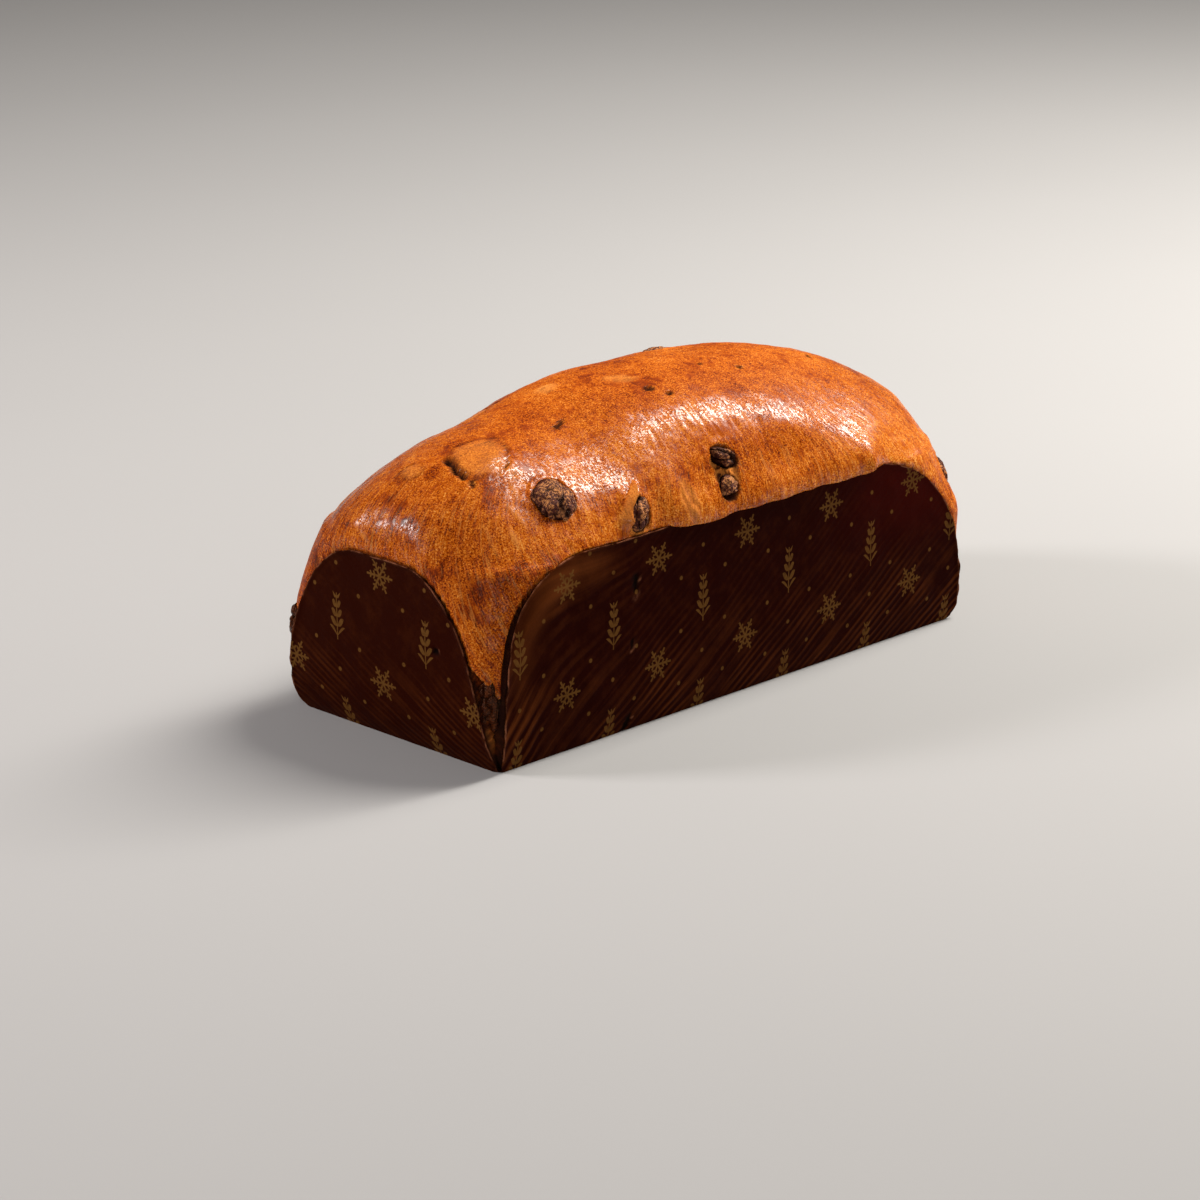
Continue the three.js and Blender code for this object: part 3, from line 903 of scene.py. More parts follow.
@dataclass(frozen=True)
class FruitFinish:
    """Dried fruit: nearly black purple-brown folds with dusty ochre crests, and painted shade in its folds,
    its hollow and on its sunk side.
    """

    name: str = "dusty_dried_fruit"
    deep: Colour = (0.016, 0.003, 0.002)
    skin: Colour = (0.10, 0.030, 0.024)
    dust: Colour = (0.68, 0.28, 0.10)
    dusting: float = 0.95
    dust_scale: float = 300.0
    dust_contrast: float = 2.8
    dust_span: Pair = (0.42, 0.74)
    dusty_crests: Pair = (0.25, 0.8)
    fold_span: Pair = (0.15, 0.75)
    grit_scale: float = 1300.0
    grit_share: float = 2.2
    grit_relief: float = 0.8
    crackle_scale: float = 420.0
    crackle_relief: float = -2.2
    roughness: float = 0.38
    dusty_roughness: float = 0.25
    reflection: float = 0.12
    reflection_tint: Colour = (1.0, 0.5, 0.25)
    relief: float = 0.0006

    def material(self, groups: Groups) -> bpy.types.Material:
        """Builds the fruit's material.

        Args:
            groups: The shared node groups.

        Returns:
            The material.
        """
        material, shader, surface = new_material(self.name, groups)
        place = shader.place()
        crest = shader.trace("crest")
        patches = shader.patches(place, self.dust_scale, self.dust_contrast)
        grit = shader.noise(place, self.grit_scale, rough=0.65)
        # Painted shade: the deep colour where the crest trace is low, in the folds, the hollow and on the
        # sunk side.
        folded = shader.blend(shader.span(crest, *self.fold_span), self.deep, self.skin)
        worn = shader.plus(patches, shader.centred(grit), self.grit_share)
        dusty = shader.times(shader.span(worn, *self.dust_span), shader.span(crest, *self.dusty_crests))
        crackle = shader.noise(place, self.crackle_scale, rough=0.6)
        crackle = shader.times(shader.size(shader.centred(crackle)), self.crackle_relief)
        height = shader.plus(crackle, grit, self.grit_relief)
        inputs = {
            "Base Color": shader.blend(shader.times(dusty, self.dusting), folded, self.dust),
            "Roughness": shader.plus(self.roughness, patches, self.dusty_roughness),
            "Specular IOR Level": self.reflection,
            "Specular Tint": self.reflection_tint,
            "Normal": shader.bump(height, self.relief),
        }
        shader.fill(surface, inputs)
        return material


CHARRED_FRUIT = FruitFinish(
    name="charred_dried_fruit",
    deep=(0.008, 0.0015, 0.001),
    skin=(0.030, 0.005, 0.002),
    dust=(0.17, 0.036, 0.008),
    dusting=0.5,
    roughness=0.22,
    reflection=0.3,
)


@dataclass(frozen=True)
class PaperFinish:
    """Dark brown baking paper, finely fluted, with a dull gold print of winter motifs."""

    deep: Colour = (0.020, 0.0016, 0.0004)
    # Lighter end of the paper's tone: real mottling, the flutes' painted light, and painted sheen near the
    # long flaps' left edge.
    warm: Colour = (0.14, 0.034, 0.007)
    # Painted sheen high up towards one end of each long flap.
    red: Colour = (0.050, 0.0026, 0.0012)
    # Pale colour of the cut edges, with painted glints along them.
    cut: Colour = (0.36, 0.13, 0.065)
    gold: Colour = (0.175, 0.077, 0.018)
    # Painted shade inside the flaps' wounds.
    slit: Colour = (0.006, 0.002, 0.0015)
    flute_pitch: float = 0.0049
    flute_run: float = 0.06
    flute_span: Pair = (0.35, 0.85)
    wander: float = 0.006
    wander_scale: float = 30.0
    clear_scale: float = 34.0
    clear_share: Pair = (0.04, 0.24)
    leather_scale: float = 110.0
    leather_tone: float = 0.3
    worn_scale: float = 700.0
    worn_share: Pair = (0.4, 0.78)
    rim_scale: float = 170.0
    cell: Pair = (0.046, 0.040)
    crystal: float = 0.0066
    crystal_at: Pair = (0.0, 0.55)
    twigs: tuple[Pair, ...] = ((0.34, 0.26), (0.62, 0.22))
    sprig: float = 0.0088
    sprig_at: Pair = (0.5, 0.05)
    dot: float = 0.0008
    dots_at: tuple[Pair, ...] = ((0.5, 0.55), (0.25, 0.3), (0.75, 0.3), (0.25, 0.8), (0.75, 0.8))
    line: float = 0.00042
    roughness: float = 0.42
    leather_roughness: float = 0.18
    reflection: float = 0.01
    grain_scale: float = 1400.0
    relief: float = 0.0005

    def cell_place(self, shader: Shader, sheet: tuple[Socket, Socket], shift: Pair) -> tuple:
        """Place within a repeating cell, measured from its middle.

        Args:
            shader: The material's builder.
            sheet: Distance along the paper and height.
            shift: Where the first cell's middle lies, in cells.

        Returns:
            Distance along and height from the nearest cell's middle.
        """
        result = []
        for value, size, offset in zip(sheet, self.cell, shift):
            moved = shader.less(shader.math("DIVIDE", value, size), offset)
            result.append(shader.times(shader.from_nearest(moved), size))
        return tuple(result)

    def stroke(self, shader: Shader, distance: Socket, width: float) -> Socket:
        """1 on a line of a given half width, soft at its edge."""
        return shader.within(distance, width, 0.3)

    def crystal_mask(self, shader: Shader, x: Socket, y: Socket) -> Socket:
        """A six-armed crystal: six ribs with two pairs of twigs each.

        Args:
            shader: The material's builder.
            x: Distance along from the crystal's middle.
            y: Height from the crystal's middle.

        Returns:
            1 on the crystal, else 0.
        """
        sector = math.pi / 3
        sine, cosine = math.sin(sector), math.cos(sector)
        away = shader.away(x, y)
        angle = shader.math("DIVIDE", shader.math("ARCTAN2", y, x), sector)
        folded = shader.times(shader.size(shader.from_nearest(angle)), sector)
        along = shader.times(away, shader.math("COSINE", folded))
        across = shader.times(away, shader.math("SINE", folded))
        rib = self.stroke(shader, across, self.line)
        mask = shader.times(rib, shader.within(along, self.crystal, 0.02))
        for root, length in self.twigs:
            ahead = shader.less(along, self.crystal * root)
            off = shader.plus(shader.times(across, cosine), ahead, -sine)
            run = shader.plus(shader.times(across, sine), ahead, cosine)
            line = self.stroke(shader, shader.size(off), self.line * 0.85)
            end = shader.within(run, self.crystal * length, 0.05)
            start = shader.span(run, -self.line, 0.0)
            mask = shader.most(mask, shader.times(line, shader.times(end, start)))
        return mask

    def sprig_mask(self, shader: Shader, x: Socket, y: Socket) -> Socket:
        """An upright sprig: a stem with pairs of slanting leaves that shrink to its tip.

        Args:
            shader: The material's builder.
            x: Distance along from the sprig's middle.
            y: Height from the sprig's middle.

        Returns:
            1 on the sprig, else 0.
        """
        side = shader.size(x)
        tall = self.sprig
        pitch = tall * 0.42
        taper = shader.span(y, -tall, tall, (1.0, 0.45))
        rising = shader.plus(y, side, -0.9)
        nearest = shader.times(shader.from_nearest(shader.math("DIVIDE", rising, pitch)), pitch)
        share = shader.math("DIVIDE", side, shader.times(taper, tall * 0.5))
        belly = shader.times(share, shader.less(1.0, share))
        belly = shader.most(shader.times(belly, tall * 0.62), 0.0)
        over = shader.less(shader.size(nearest), belly)
        leaf = shader.span(over, -self.line * 0.3, self.line * 0.3, (1.0, 0.0))
        leaf = shader.times(leaf, shader.math("LESS_THAN", share, 1.0))
        leaf = shader.times(leaf, shader.math("LESS_THAN", shader.size(rising), tall * 0.84))
        stem = self.stroke(shader, side, self.line * 0.6)
        stem = shader.times(stem, shader.math("LESS_THAN", shader.size(y), tall))
        return shader.most(leaf, stem)

    def dot_mask(self, shader: Shader, x: Socket, y: Socket) -> Socket:
        """A small round dot."""
        return self.stroke(shader, shader.away(x, y), self.dot)

    def motifs(self, shader: Shader, sheet: tuple[Socket, Socket]) -> Socket:
        """The print: one crystal, one sprig and some dots to each cell.

        Args:
            shader: The material's builder.
            sheet: Distance along the paper and height.

        Returns:
            1 on the print, else 0.
        """
        layout = [(self.crystal_mask, self.crystal_at), (self.sprig_mask, self.sprig_at)]
        layout += [(self.dot_mask, shift) for shift in self.dots_at]
        drawn = [mask(shader, *self.cell_place(shader, sheet, shift)) for mask, shift in layout]
        return reduce(shader.most, drawn)

    def flutes(self, shader: Shader, place: Socket, sheet: list[Socket]) -> Socket:
        """Fine flutes that lean and wander, clear in some places and faint in others.

        Args:
            shader: The material's builder.
            place: The place on the object.
            sheet: Distance along the paper, height, and how much the flutes lean.

        Returns:
            The flutes' height.
        """
        along, height, lean = sheet
        wander = shader.times(shader.noise(place, self.wander_scale, detail=1.0), self.wander)
        upright = shader.plus(along, height, shader.times(lean, -1.0))
        slant = shader.math("ADD", upright, wander)
        wave = shader.math("SINE", shader.times(slant, 2 * math.pi / self.flute_pitch))
        flat = shader.joined(slant, 0.0, height)
        uneven = shader.lines(flat, self.flute_pitch * 0.9, self.flute_run)
        clear = shader.span(shader.noise(place, self.clear_scale, detail=1.0), 0.35, 0.65, self.clear_share)
        return shader.plus(uneven, wave, clear)

    def material(self, groups: Groups) -> bpy.types.Material:
        """Builds the paper's material.

        Args:
            groups: The shared node groups.

        Returns:
            The material.
        """
        material, shader, surface = new_material("printed_baking_paper", groups)
        place = shader.place()
        sheet = shader.parts(shader.trace("sheet", vector=True))
        leather = shader.patches(place, self.leather_scale, 2.0)
        flutes = self.flutes(shader, place, sheet)
        pressed = shader.trace("pressed")
        # Painted light and shade: the flutes stripe the colour lighter on their ridges and darker in their
        # grooves.
        ribs = shader.times(shader.span(flutes, *self.flute_span), pressed)
        tone = shader.plus(ribs, shader.centred(leather), self.leather_tone, clamp=True)
        colour = shader.blend(tone, self.deep, self.warm)
        # Painted sheen high up on the long flaps and near their left edge, and painted shade in the wounds.
        for trace, tint in (("painted_sheen", self.red), ("pale", self.warm), ("slit", self.slit)):
            colour = shader.blend(shader.trace(trace), colour, tint)
        worn = shader.span(shader.patches(place, self.worn_scale, 2.0), 0.1, 0.6, self.worn_share)
        inked = shader.times(self.motifs(shader, (sheet[0], sheet[1])), worn)
        colour = shader.blend(shader.times(inked, shader.trace("outer")), colour, self.gold)
        # Pale cut edges of the paper, broken into painted glints.
        fibres = shader.span(shader.noise(place, self.rim_scale), 0.36, 0.72)
        relief = shader.times(flutes, shader.math("ADD", pressed, 0.15))
        relief = shader.plus(relief, shader.noise(place, self.grain_scale, detail=2.0), 0.1)
        inputs = {
            "Base Color": shader.blend(shader.times(shader.trace("rim"), fibres), colour, self.cut),
            "Roughness": shader.plus(self.roughness, leather, self.leather_roughness),
            "Specular IOR Level": self.reflection,
            "Normal": shader.bump(relief, self.relief),
        }
        shader.fill(surface, inputs)
        return material


# ---- Dried fruit ----


@dataclass(frozen=True)
class DriedFruit:
    """One dried fruit half sunk in the skin, at its CAD node's place."""

    node: str
    height: float
    round: float
    size: Triple
    sink: float
    turn: float
    seed: int
    wrinkled: float = 1.1
    flat: float = 1.0
    hollow: Pair | None = None
    rimmed: float = 1.0
    charred: bool = False
    detail: int = 6

    def place(self) -> Place:
        """Its place on the skin."""
        return FORM.place(self.height, self.round)

    def axes(self) -> Array:
        """Its length, width and depth directions, as rows."""
        spot = self.place()
        angle = math.radians(self.turn)
        across = np.cross(spot.outward, spot.level)
        length = spot.level * math.cos(angle) + across * math.sin(angle)
        return np.stack([length, np.cross(spot.outward, length), spot.outward])

    def footprint(self) -> Pair:
        """Half length and half width of the cut that the skin makes through it."""
        share = math.sqrt(max(1 - (self.sink / self.size[2]) ** 2, 0.05))
        return self.size[0] * share, self.size[1] * share

    def build(self, finish: bpy.types.Material) -> bpy.types.Object:
        """Makes the wrinkled lump.

        Args:
            finish: Its material.

        Returns:
            The piece.
        """
        ball = bmesh.new()
        bmesh.ops.create_icosphere(ball, subdivisions=self.detail, radius=1.0)
        points = np.array([v.co[:] for v in ball.verts])
        faces = [[v.index for v in face.verts] for face in ball.faces]
        ball.free()
        x, y, z = points.T
        fold = np.sin(5 * x + 2.1 * self.seed) * np.sin(6 * y + 3 * z + self.seed)
        swell = np.sin(2.3 * x + 2.9 * y - 1.7 * self.seed)
        length, width, depth = self.size
        body = points * (1 + 0.07 * fold + 0.06 * swell)[:, None] * (length, width, depth * self.flat)
        grain = Grain(100 + self.seed)
        folds = grain.value(body, (9.0, 5.0, 6.0)) + 0.5 * grain.value(body + 40, 3.3)
        creases = np.abs(grain.value(body + 20, (7.0, 3.6, 5.0)))
        pits = grain.layered(body + 90, 1.5, 2)
        crest = smooth(folds, -0.45, 0.4) * 0.6 + smooth(creases, 0.0, 0.2) * 0.4
        body -= points * ((1 - crest) * self.wrinkled - 0.2 + 0.16 * pits)[:, None]
        # Painted shade: crests count less towards the fruit's sunk side and one end, which the finish
        # darkens.
        crest *= 0.2 + 0.8 * smooth(z - 0.3 * x, 0.0, 0.7)
        if self.hollow is not None:
            away = np.hypot(body[:, 0] / length - self.hollow[0], body[:, 1] / width - self.hollow[1])
            dent = bell(away, 0.34) * (body[:, 2] > 0)
            body[:, 2] -= 0.42 * depth * dent
            # The hollow gets painted shade and less dust.
            crest = crest * (1 - 0.9 * dent)
        spot = self.place()
        placed = body @ self.axes() + spot.point - spot.outward * self.sink
        piece = mesh_object(f"{self.node}_wrinkled", placed, faces, {"crest": crest + 0.2 * pits})
        settle(piece, self.node, "dried_fruit", finish)
        return piece


FRUIT = (
    DriedFruit("raisin_front_round", 90.2, -83.6, (8.4, 7.8, 7), 2.4, 70, 1, 0.6, flat=0.86),
    DriedFruit("raisin_split_upper", 90.4, -6.2, (6.6, 4.1, 4.8), 1.8, -35, 2, 1.8, 1.0, (0.3, 0.1), 0.0),
    DriedFruit("raisin_split_lower", 80.4, -8.6, (4.9, 4.3, 4.6), 1.8, 10, 3, 1.6, rimmed=0.0),
    DriedFruit("raisin_paper_edge", 80.8, -53, (6.8, 4.9, 4.6), 1.5, 56, 4, 1.8, rimmed=0.0),
    DriedFruit("raisin_crown", 111.6, 89.5, (6.5, 5, 4), 2.4, 0, 5, 1.5, flat=0.8),
    DriedFruit("raisin_far_corner", 59, 122.5, (8, 4, 4), 2.6, 90, 6, flat=0.8),
    DriedFruit("raisin_near_corner", 25, -130.6, (10.5, 4.6, 5), 5.4, 90, 7, 2.8, charred=True),
    DriedFruit("raisin_left_corner", 33, -227.6, (8, 4.4, 4.6), 3.9, 90, 8, 1.8, charred=True),
    DriedFruit("raisin_back_round", 92, 240, (8, 7.2, 6.4), 2, 40, 9, flat=0.9),
    DriedFruit("raisin_back_long", 84, 338, (7.4, 4.8, 4.6), 2, 75, 10),
    DriedFruit("raisin_right_end", 86, 160, (6.8, 5.6, 5), 2, 130, 11),
)


# ---- Crust ----


@dataclass
class Relief:
    """The crust's vertices, with what its marks have done to them so far."""

    points: Array
    rise: Array
    traces: dict[Trace, Array]
    grain: Grain

    def raise_trace(self, trace: Trace, value: Array, where: Array | slice = slice(None)) -> None:
        """Keeps the larger of a trace's old and new values, at some vertices or at all."""
        self.traces[trace][where] = np.maximum(self.traces[trace][where], value)


@dataclass(frozen=True)
class Mark:
    """A small feature of the crust, on an ellipse or an uneven outline about one place.

    An uneven outline is given by its reach at even angles, from the right upwards,
    as shares of the ellipse's own. The span is where a blister's skin has lifted,
    from one angle to another.
    """

    height: float
    round: float
    wide: float
    tall: float
    turn: float = 0.0
    amount: float = 1.0
    outline: tuple[float, ...] = ()
    span: Pair = (170.0, 275.0)

    def near(self, relief: Relief, reach: float, ragged: float = 0.0) -> tuple[Array, ...]:
        """Vertices near the mark.

        Args:
            relief: The crust so far.
            reach: How many half widths away still count.
            ragged: How uneven the outline is.

        Returns:
            Their numbers, their distances along the mark's two axes in half widths,
            and their distance from its middle, 1 at the outline.
        """
        spot = FORM.place(self.height, self.round)
        level, upward, outward = spot.local(relief.points)
        angle = math.radians(self.turn)
        a = (level * math.cos(angle) + upward * math.sin(angle)) / self.wide
        b = (upward * math.cos(angle) - level * math.sin(angle)) / self.tall
        away = np.hypot(a, b)
        if self.outline:
            angles = np.arctan2(b, a) / (2 * math.pi) % 1 * len(self.outline)
            away /= np.interp(angles, np.arange(len(self.outline) + 1), self.outline + self.outline[:1])
        where = np.flatnonzero((away < reach) & (np.abs(outward) < 2 * max(self.wide, self.tall) + 4))
        a, b, away = a[where], b[where], away[where]
        if ragged:
            away = away * (1 + ragged * relief.grain.layered(relief.points[where] + 70, 5.0, 3))
        return where, a, b, away

    def press(self, relief: Relief) -> None:
        """Works the mark into the crust."""
        raise NotImplementedError


class Swell(Mark):
    """A slow swelling or hollow."""

    def press(self, relief: Relief) -> None:
        """Raises the skin by a bell curve."""
        spot = FORM.place(self.height, self.round).point
        away = relief.points - spot
        level = np.hypot(away[:, 0], away[:, 1]) / self.wide
        relief.rise += self.amount * np.exp(-(level**2) - (away[:, 2] / self.tall) ** 2)


class Pit(Mark):
    """A small hole with a slightly raised rim and painted shade in it."""

    def press(self, relief: Relief) -> None:
        """Sinks the hole and paints shade into it."""
        where, _, _, away = self.near(relief, 3.0, 0.25)
        relief.rise[where] -= self.amount * (1 - smooth(away, 0.3, 1.1))
        # Painted shade in the hole.
        relief.raise_trace(Trace.CHAR_AND_SHADE, 0.95 * (1 - smooth(away, 0.8, 1.5)), where)


class Blister(Mark):
    """Skin domed over a fruit, with a cracked outline that gapes over one span."""

    def press(self, relief: Relief) -> None:
        """Raises the dome, cuts the crack round it, paints shadow into the crack and pales it."""
        where, a, b, away = self.near(relief, 1.9, 0.1)
        dome = 1 - smooth(away, 0.5, 1.0)
        broken = smooth(relief.grain.layered(relief.points[where] + 240, 3.0, 2), -0.05, 0.3)
        angle = np.degrees(np.arctan2(b, a)) % 360
        start, end = self.span
        gaping = smooth(angle, start, start + 14) * (1 - smooth(angle, end - 25, end))
        crack = bell(away - 1.0, 0.5 / self.wide + 0.07 * gaping)
        raised = bell(away - 0.84, 0.12) * gaping
        opened = crack * (0.6 * broken + 2.2 * gaping)
        relief.rise[where] += self.amount * (0.2 * dome + 0.5 * raised - opened)
        relief.raise_trace(Trace.BARE_AND_GLINTS, 0.42 * (1 - smooth(away, 0.7, 1.0)), where)
        # Painted shadow in the crack, deepest where it gapes.
        faint = 0.3 * bell(away - 1.0, 0.9 / self.wide)
        dark = np.clip(crack * np.maximum(0.8 * broken, 1.8 * gaping), faint, 1)
        relief.raise_trace(Trace.CHAR_AND_SHADE, dark, where)


class Flake(Mark):
    """A pale patch of dry skin with a thin crack."""

    def press(self, relief: Relief) -> None:
        """Pales the patch, scores it and paints shade into the score."""
        where, a, b, away = self.near(relief, 1.9, 0.35)
        patch = 1 - smooth(away, 0.6, 1.15)
        relief.rise[where] += 0.3 * self.amount * patch
        relief.raise_trace(Trace.BARE_AND_GLINTS, patch * self.amount, where)
        bend = 0.2 * np.sin(2.4 * a) + 0.3 * relief.grain.value(relief.points[where] + 5, 3.0)
        lower = bell(b + 0.42 - bend, 0.14) * (1 - smooth(np.abs(a - 0.25), 0.3, 0.7))
        upper = bell(b - 0.3 - bend, 0.1) * (1 - smooth(np.abs(a - 0.5), 0.15, 0.4))
        score = np.maximum(lower, 0.7 * upper)
        relief.rise[where] -= 0.9 * score * self.amount
        # Painted shade in the score.
        relief.raise_trace(Trace.CHAR_AND_SHADE, 0.95 * score * self.amount, where)


class Furrows(Mark):
    """Dry pale skin drawn into furrows down the slope."""

    def press(self, relief: Relief) -> None:
        """Cuts the furrows, pales their crests and paints shade into their troughs."""
        where, a, _, away = self.near(relief, 1.7, 0.3)
        patch = 1 - smooth(away, 0.55, 1.1)
        crests = 0.5 + 0.5 * np.cos(a * 8.0 + 5.0 * relief.grain.layered(relief.points[where] + 19, 6.0, 2))
        relief.rise[where] += self.amount * patch * (0.5 * crests - 0.1)
        relief.raise_trace(Trace.BARE_AND_GLINTS, patch * (0.45 + 0.35 * crests), where)
        # Painted shade in the troughs.
        relief.raise_trace(Trace.CHAR_AND_SHADE, 0.28 * patch * (1 - crests) ** 2, where)


class Stretch(Mark):
    """A long pale stretch line in the skin."""

    def press(self, relief: Relief) -> None:
        """Raises the line a little and pales it."""
        where, _, _, away = self.near(relief, 1.6, 0.2)
        line = 1 - smooth(away, 0.3, 1.05)
        relief.rise[where] += 0.22 * self.amount * line
        relief.raise_trace(Trace.BARE_AND_GLINTS, 0.9 * line * self.amount, where)


class Tear(Mark):
    """An opening in the skin with rough crumb in it."""

    def press(self, relief: Relief) -> None:
        """Sinks the opening, shows its crumb and paints shade into its low places."""
        where, _, _, away = self.near(relief, 1.8, 0.3)
        inside = 1 - smooth(away, 0.78, 1.04)
        rough = relief.grain.layered(relief.points[where] + 15, 2.2, 2)
        relief.rise[where] += self.amount * (0.35 * bell(away - 1.15, 0.2) - inside * (0.9 + 1.3 * rough))
        relief.raise_trace(Trace.CRUMB, inside, where)
        relief.raise_trace(Trace.BARE_AND_GLINTS, inside * smooth(rough, -0.45, 0.1), where)
        # Painted shade in the crumb's low places.
        relief.raise_trace(Trace.CHAR_AND_SHADE, 0.8 * inside * smooth(-rough, 0.2, 0.6), where)


class Tent(Mark):
    """Skin stretched over a fruit: two facets that meet in a ridge and start at a point."""

    def press(self, relief: Relief) -> None:
        """Raises the facets, pales the left one, and creases both sides with painted shade that is darker
        on the right.
        """
        where, a, b, _ = self.near(relief, 1.8)
        down = np.clip((1 - b) / 2, 0.03, 1.0)
        side = a / down
        held = smooth(down, 0.03, 0.3) * (1 - smooth(-b, 0.75, 1.2))
        relief.rise[where] += self.amount * held * np.clip(1 - np.abs(side), 0.0, 1.0)
        facet = smooth(-side, -0.1, 0.1) * (1 - smooth(-side, 0.75, 1.0))
        crease = bell(np.abs(side) - 1.08, 0.12) * held
        relief.rise[where] -= 0.35 * crease
        relief.raise_trace(Trace.BARE_AND_GLINTS, 0.65 * facet * held, where)
        # Painted shade in the creases, darker on the right side.
        relief.raise_trace(Trace.CHAR_AND_SHADE, crease * (0.1 + 0.25 * (side > 0)), where)


SWELLS = (
    Swell(100.5, -99, 12, 9, amount=1.5),
    Swell(87, -56, 6, 9, amount=1.7),
    Swell(84, -36, 6, 11, amount=1.1),
    Swell(88, -90, 15, 14, amount=-1.2),
    Swell(85, -8, 12, 14, amount=-1),
    Swell(78, 6, 16, 8, amount=0.9),
    Swell(77, 68, 7, 6, amount=1),
    Swell(46, 122, 8, 9, amount=2.2),
    Swell(95, -135, 9, 6, amount=0.9),
    Swell(88, 285, 17, 12, amount=1.4),
    Swell(92, 220, 20, 14, amount=-1.3),
)
UNDER_SKIN = (1, 1.05, 1.25, 1.5, 1.38, 1.24, 1.13, 1.04, 0.92, 0.95, 1.05, 1.09, 1.05, 1.03)
SPLIT = (0.5, 0.62, 0.84, 0.95, 0.84, 0.66, 0.58, 0.6, 0.68, 0.74, 0.68, 0.54)
MARKS = (
    Blister(100.3, -101.6, 10, 10, outline=UNDER_SKIN),
    Pit(93.9, -110.3, 0.9, 1.8, turn=20),
    Blister(94.9, -135.5, 5, 4.2, amount=0.8, span=(0, 0)),
    Flake(112.4, -65.5, 6.4, 3.8, turn=5, amount=0.8),
    Furrows(80.9, -29, 4.8, 8, turn=4),
    Flake(78, -203.8, 3, 6, turn=20, amount=0.6),
    Flake(114.2, -18, 7, 4.5, turn=-20, amount=0.5),
    Flake(98, -92, 2.2, 4.6, turn=12, amount=0.4),
    Pit(109.7, -55.9, 1.3, 1.1),
    Pit(111.9, -15.1, 1.9, 1.4, turn=-30),
    Pit(110.1, -10.9, 1.4, 1.2),
    Pit(110.6, 34, 1.4, 1),
    Pit(113.3, 19.3, 1.4, 0.8, amount=0.6),
    Pit(104, 88.3, 1.7, 0.9, amount=0.7),
    Pit(73, 126.2, 1.1, 1.6),
    Pit(69, 127.5, 0.8, 1.2),
    Tear(84.8, -7.9, 10, 10, amount=0.7, outline=SPLIT),
    Tear(76.6, -54.3, 5.4, 3.4, turn=10, amount=0.8),
    Tent(85.8, -53.2, 8.2, 10.4, turn=-29, amount=2.8),
    Swell(75.5, 67, 2.6, 2.2, amount=1.1),
    Stretch(79.4, -106.2, 1.65, 5.2, turn=16),
    Stretch(86.9, -101.6, 0.75, 7.3, turn=25, amount=0.7),
    Stretch(84.6, -100.3, 0.75, 6.6, turn=21, amount=0.6),
    Stretch(81.4, -114.7, 0.75, 5.7, turn=22, amount=0.6),
    Stretch(93.1, -96.3, 0.9, 7, turn=12, amount=0.5),
    Stretch(64.9, -99.6, 0.9, 4, turn=19, amount=0.5),
    Stretch(76.6, -115, 0.75, 4.6, turn=22, amount=0.6),
    Stretch(74.7, -171.6, 0.9, 3.2, turn=65, amount=0.8),
    Stretch(76.3, 79.5, 0.75, 3, turn=56, amount=0.8),
    Stretch(85, 6.8, 0.75, 5.4, turn=29, amount=0.4),
    Blister(104, 262, 8.5, 6.5, turn=-14),
    Flake(98, 205, 7, 4.5, turn=10, amount=0.8),
    Pit(109, 250, 1.5, 1.2),
    Pit(106.5, 228, 1.2, 1.6),
    Pit(99, 300, 1.7, 1.2),
    Pit(90, 178, 1.3, 1.3),
    Stretch(84, 206, 1.2, 7, turn=16),
    Stretch(88, 213, 0.9, 6, turn=12, amount=0.7),
    Stretch(80, 322, 1.2, 6.5, turn=-14, amount=0.8),
    Furrows(83, 262, 4, 8, turn=-5, amount=0.8),
)


@dataclass(frozen=True)
class Lip:
    """Dough that swells over the top edge of one long wall's paper.

    Its start and end are distances from the wall's middle, positive towards +X.
    """

    wall: Wall
    start: float
    end: float
    out: float
    drop: float
    fade: float = 22.0
    crest: float = 75.0

    def window(self, along: Array) -> Array:
        """Where the lip is, from 0 to 1, by the distance walked round from the wall's middle."""
        rightward = along if self.wall is Wall.FRONT else -along
        rising = smooth(rightward, self.start, self.start + self.fade)
        return rising * (1 - smooth(rightward, self.end - self.fade, self.end))


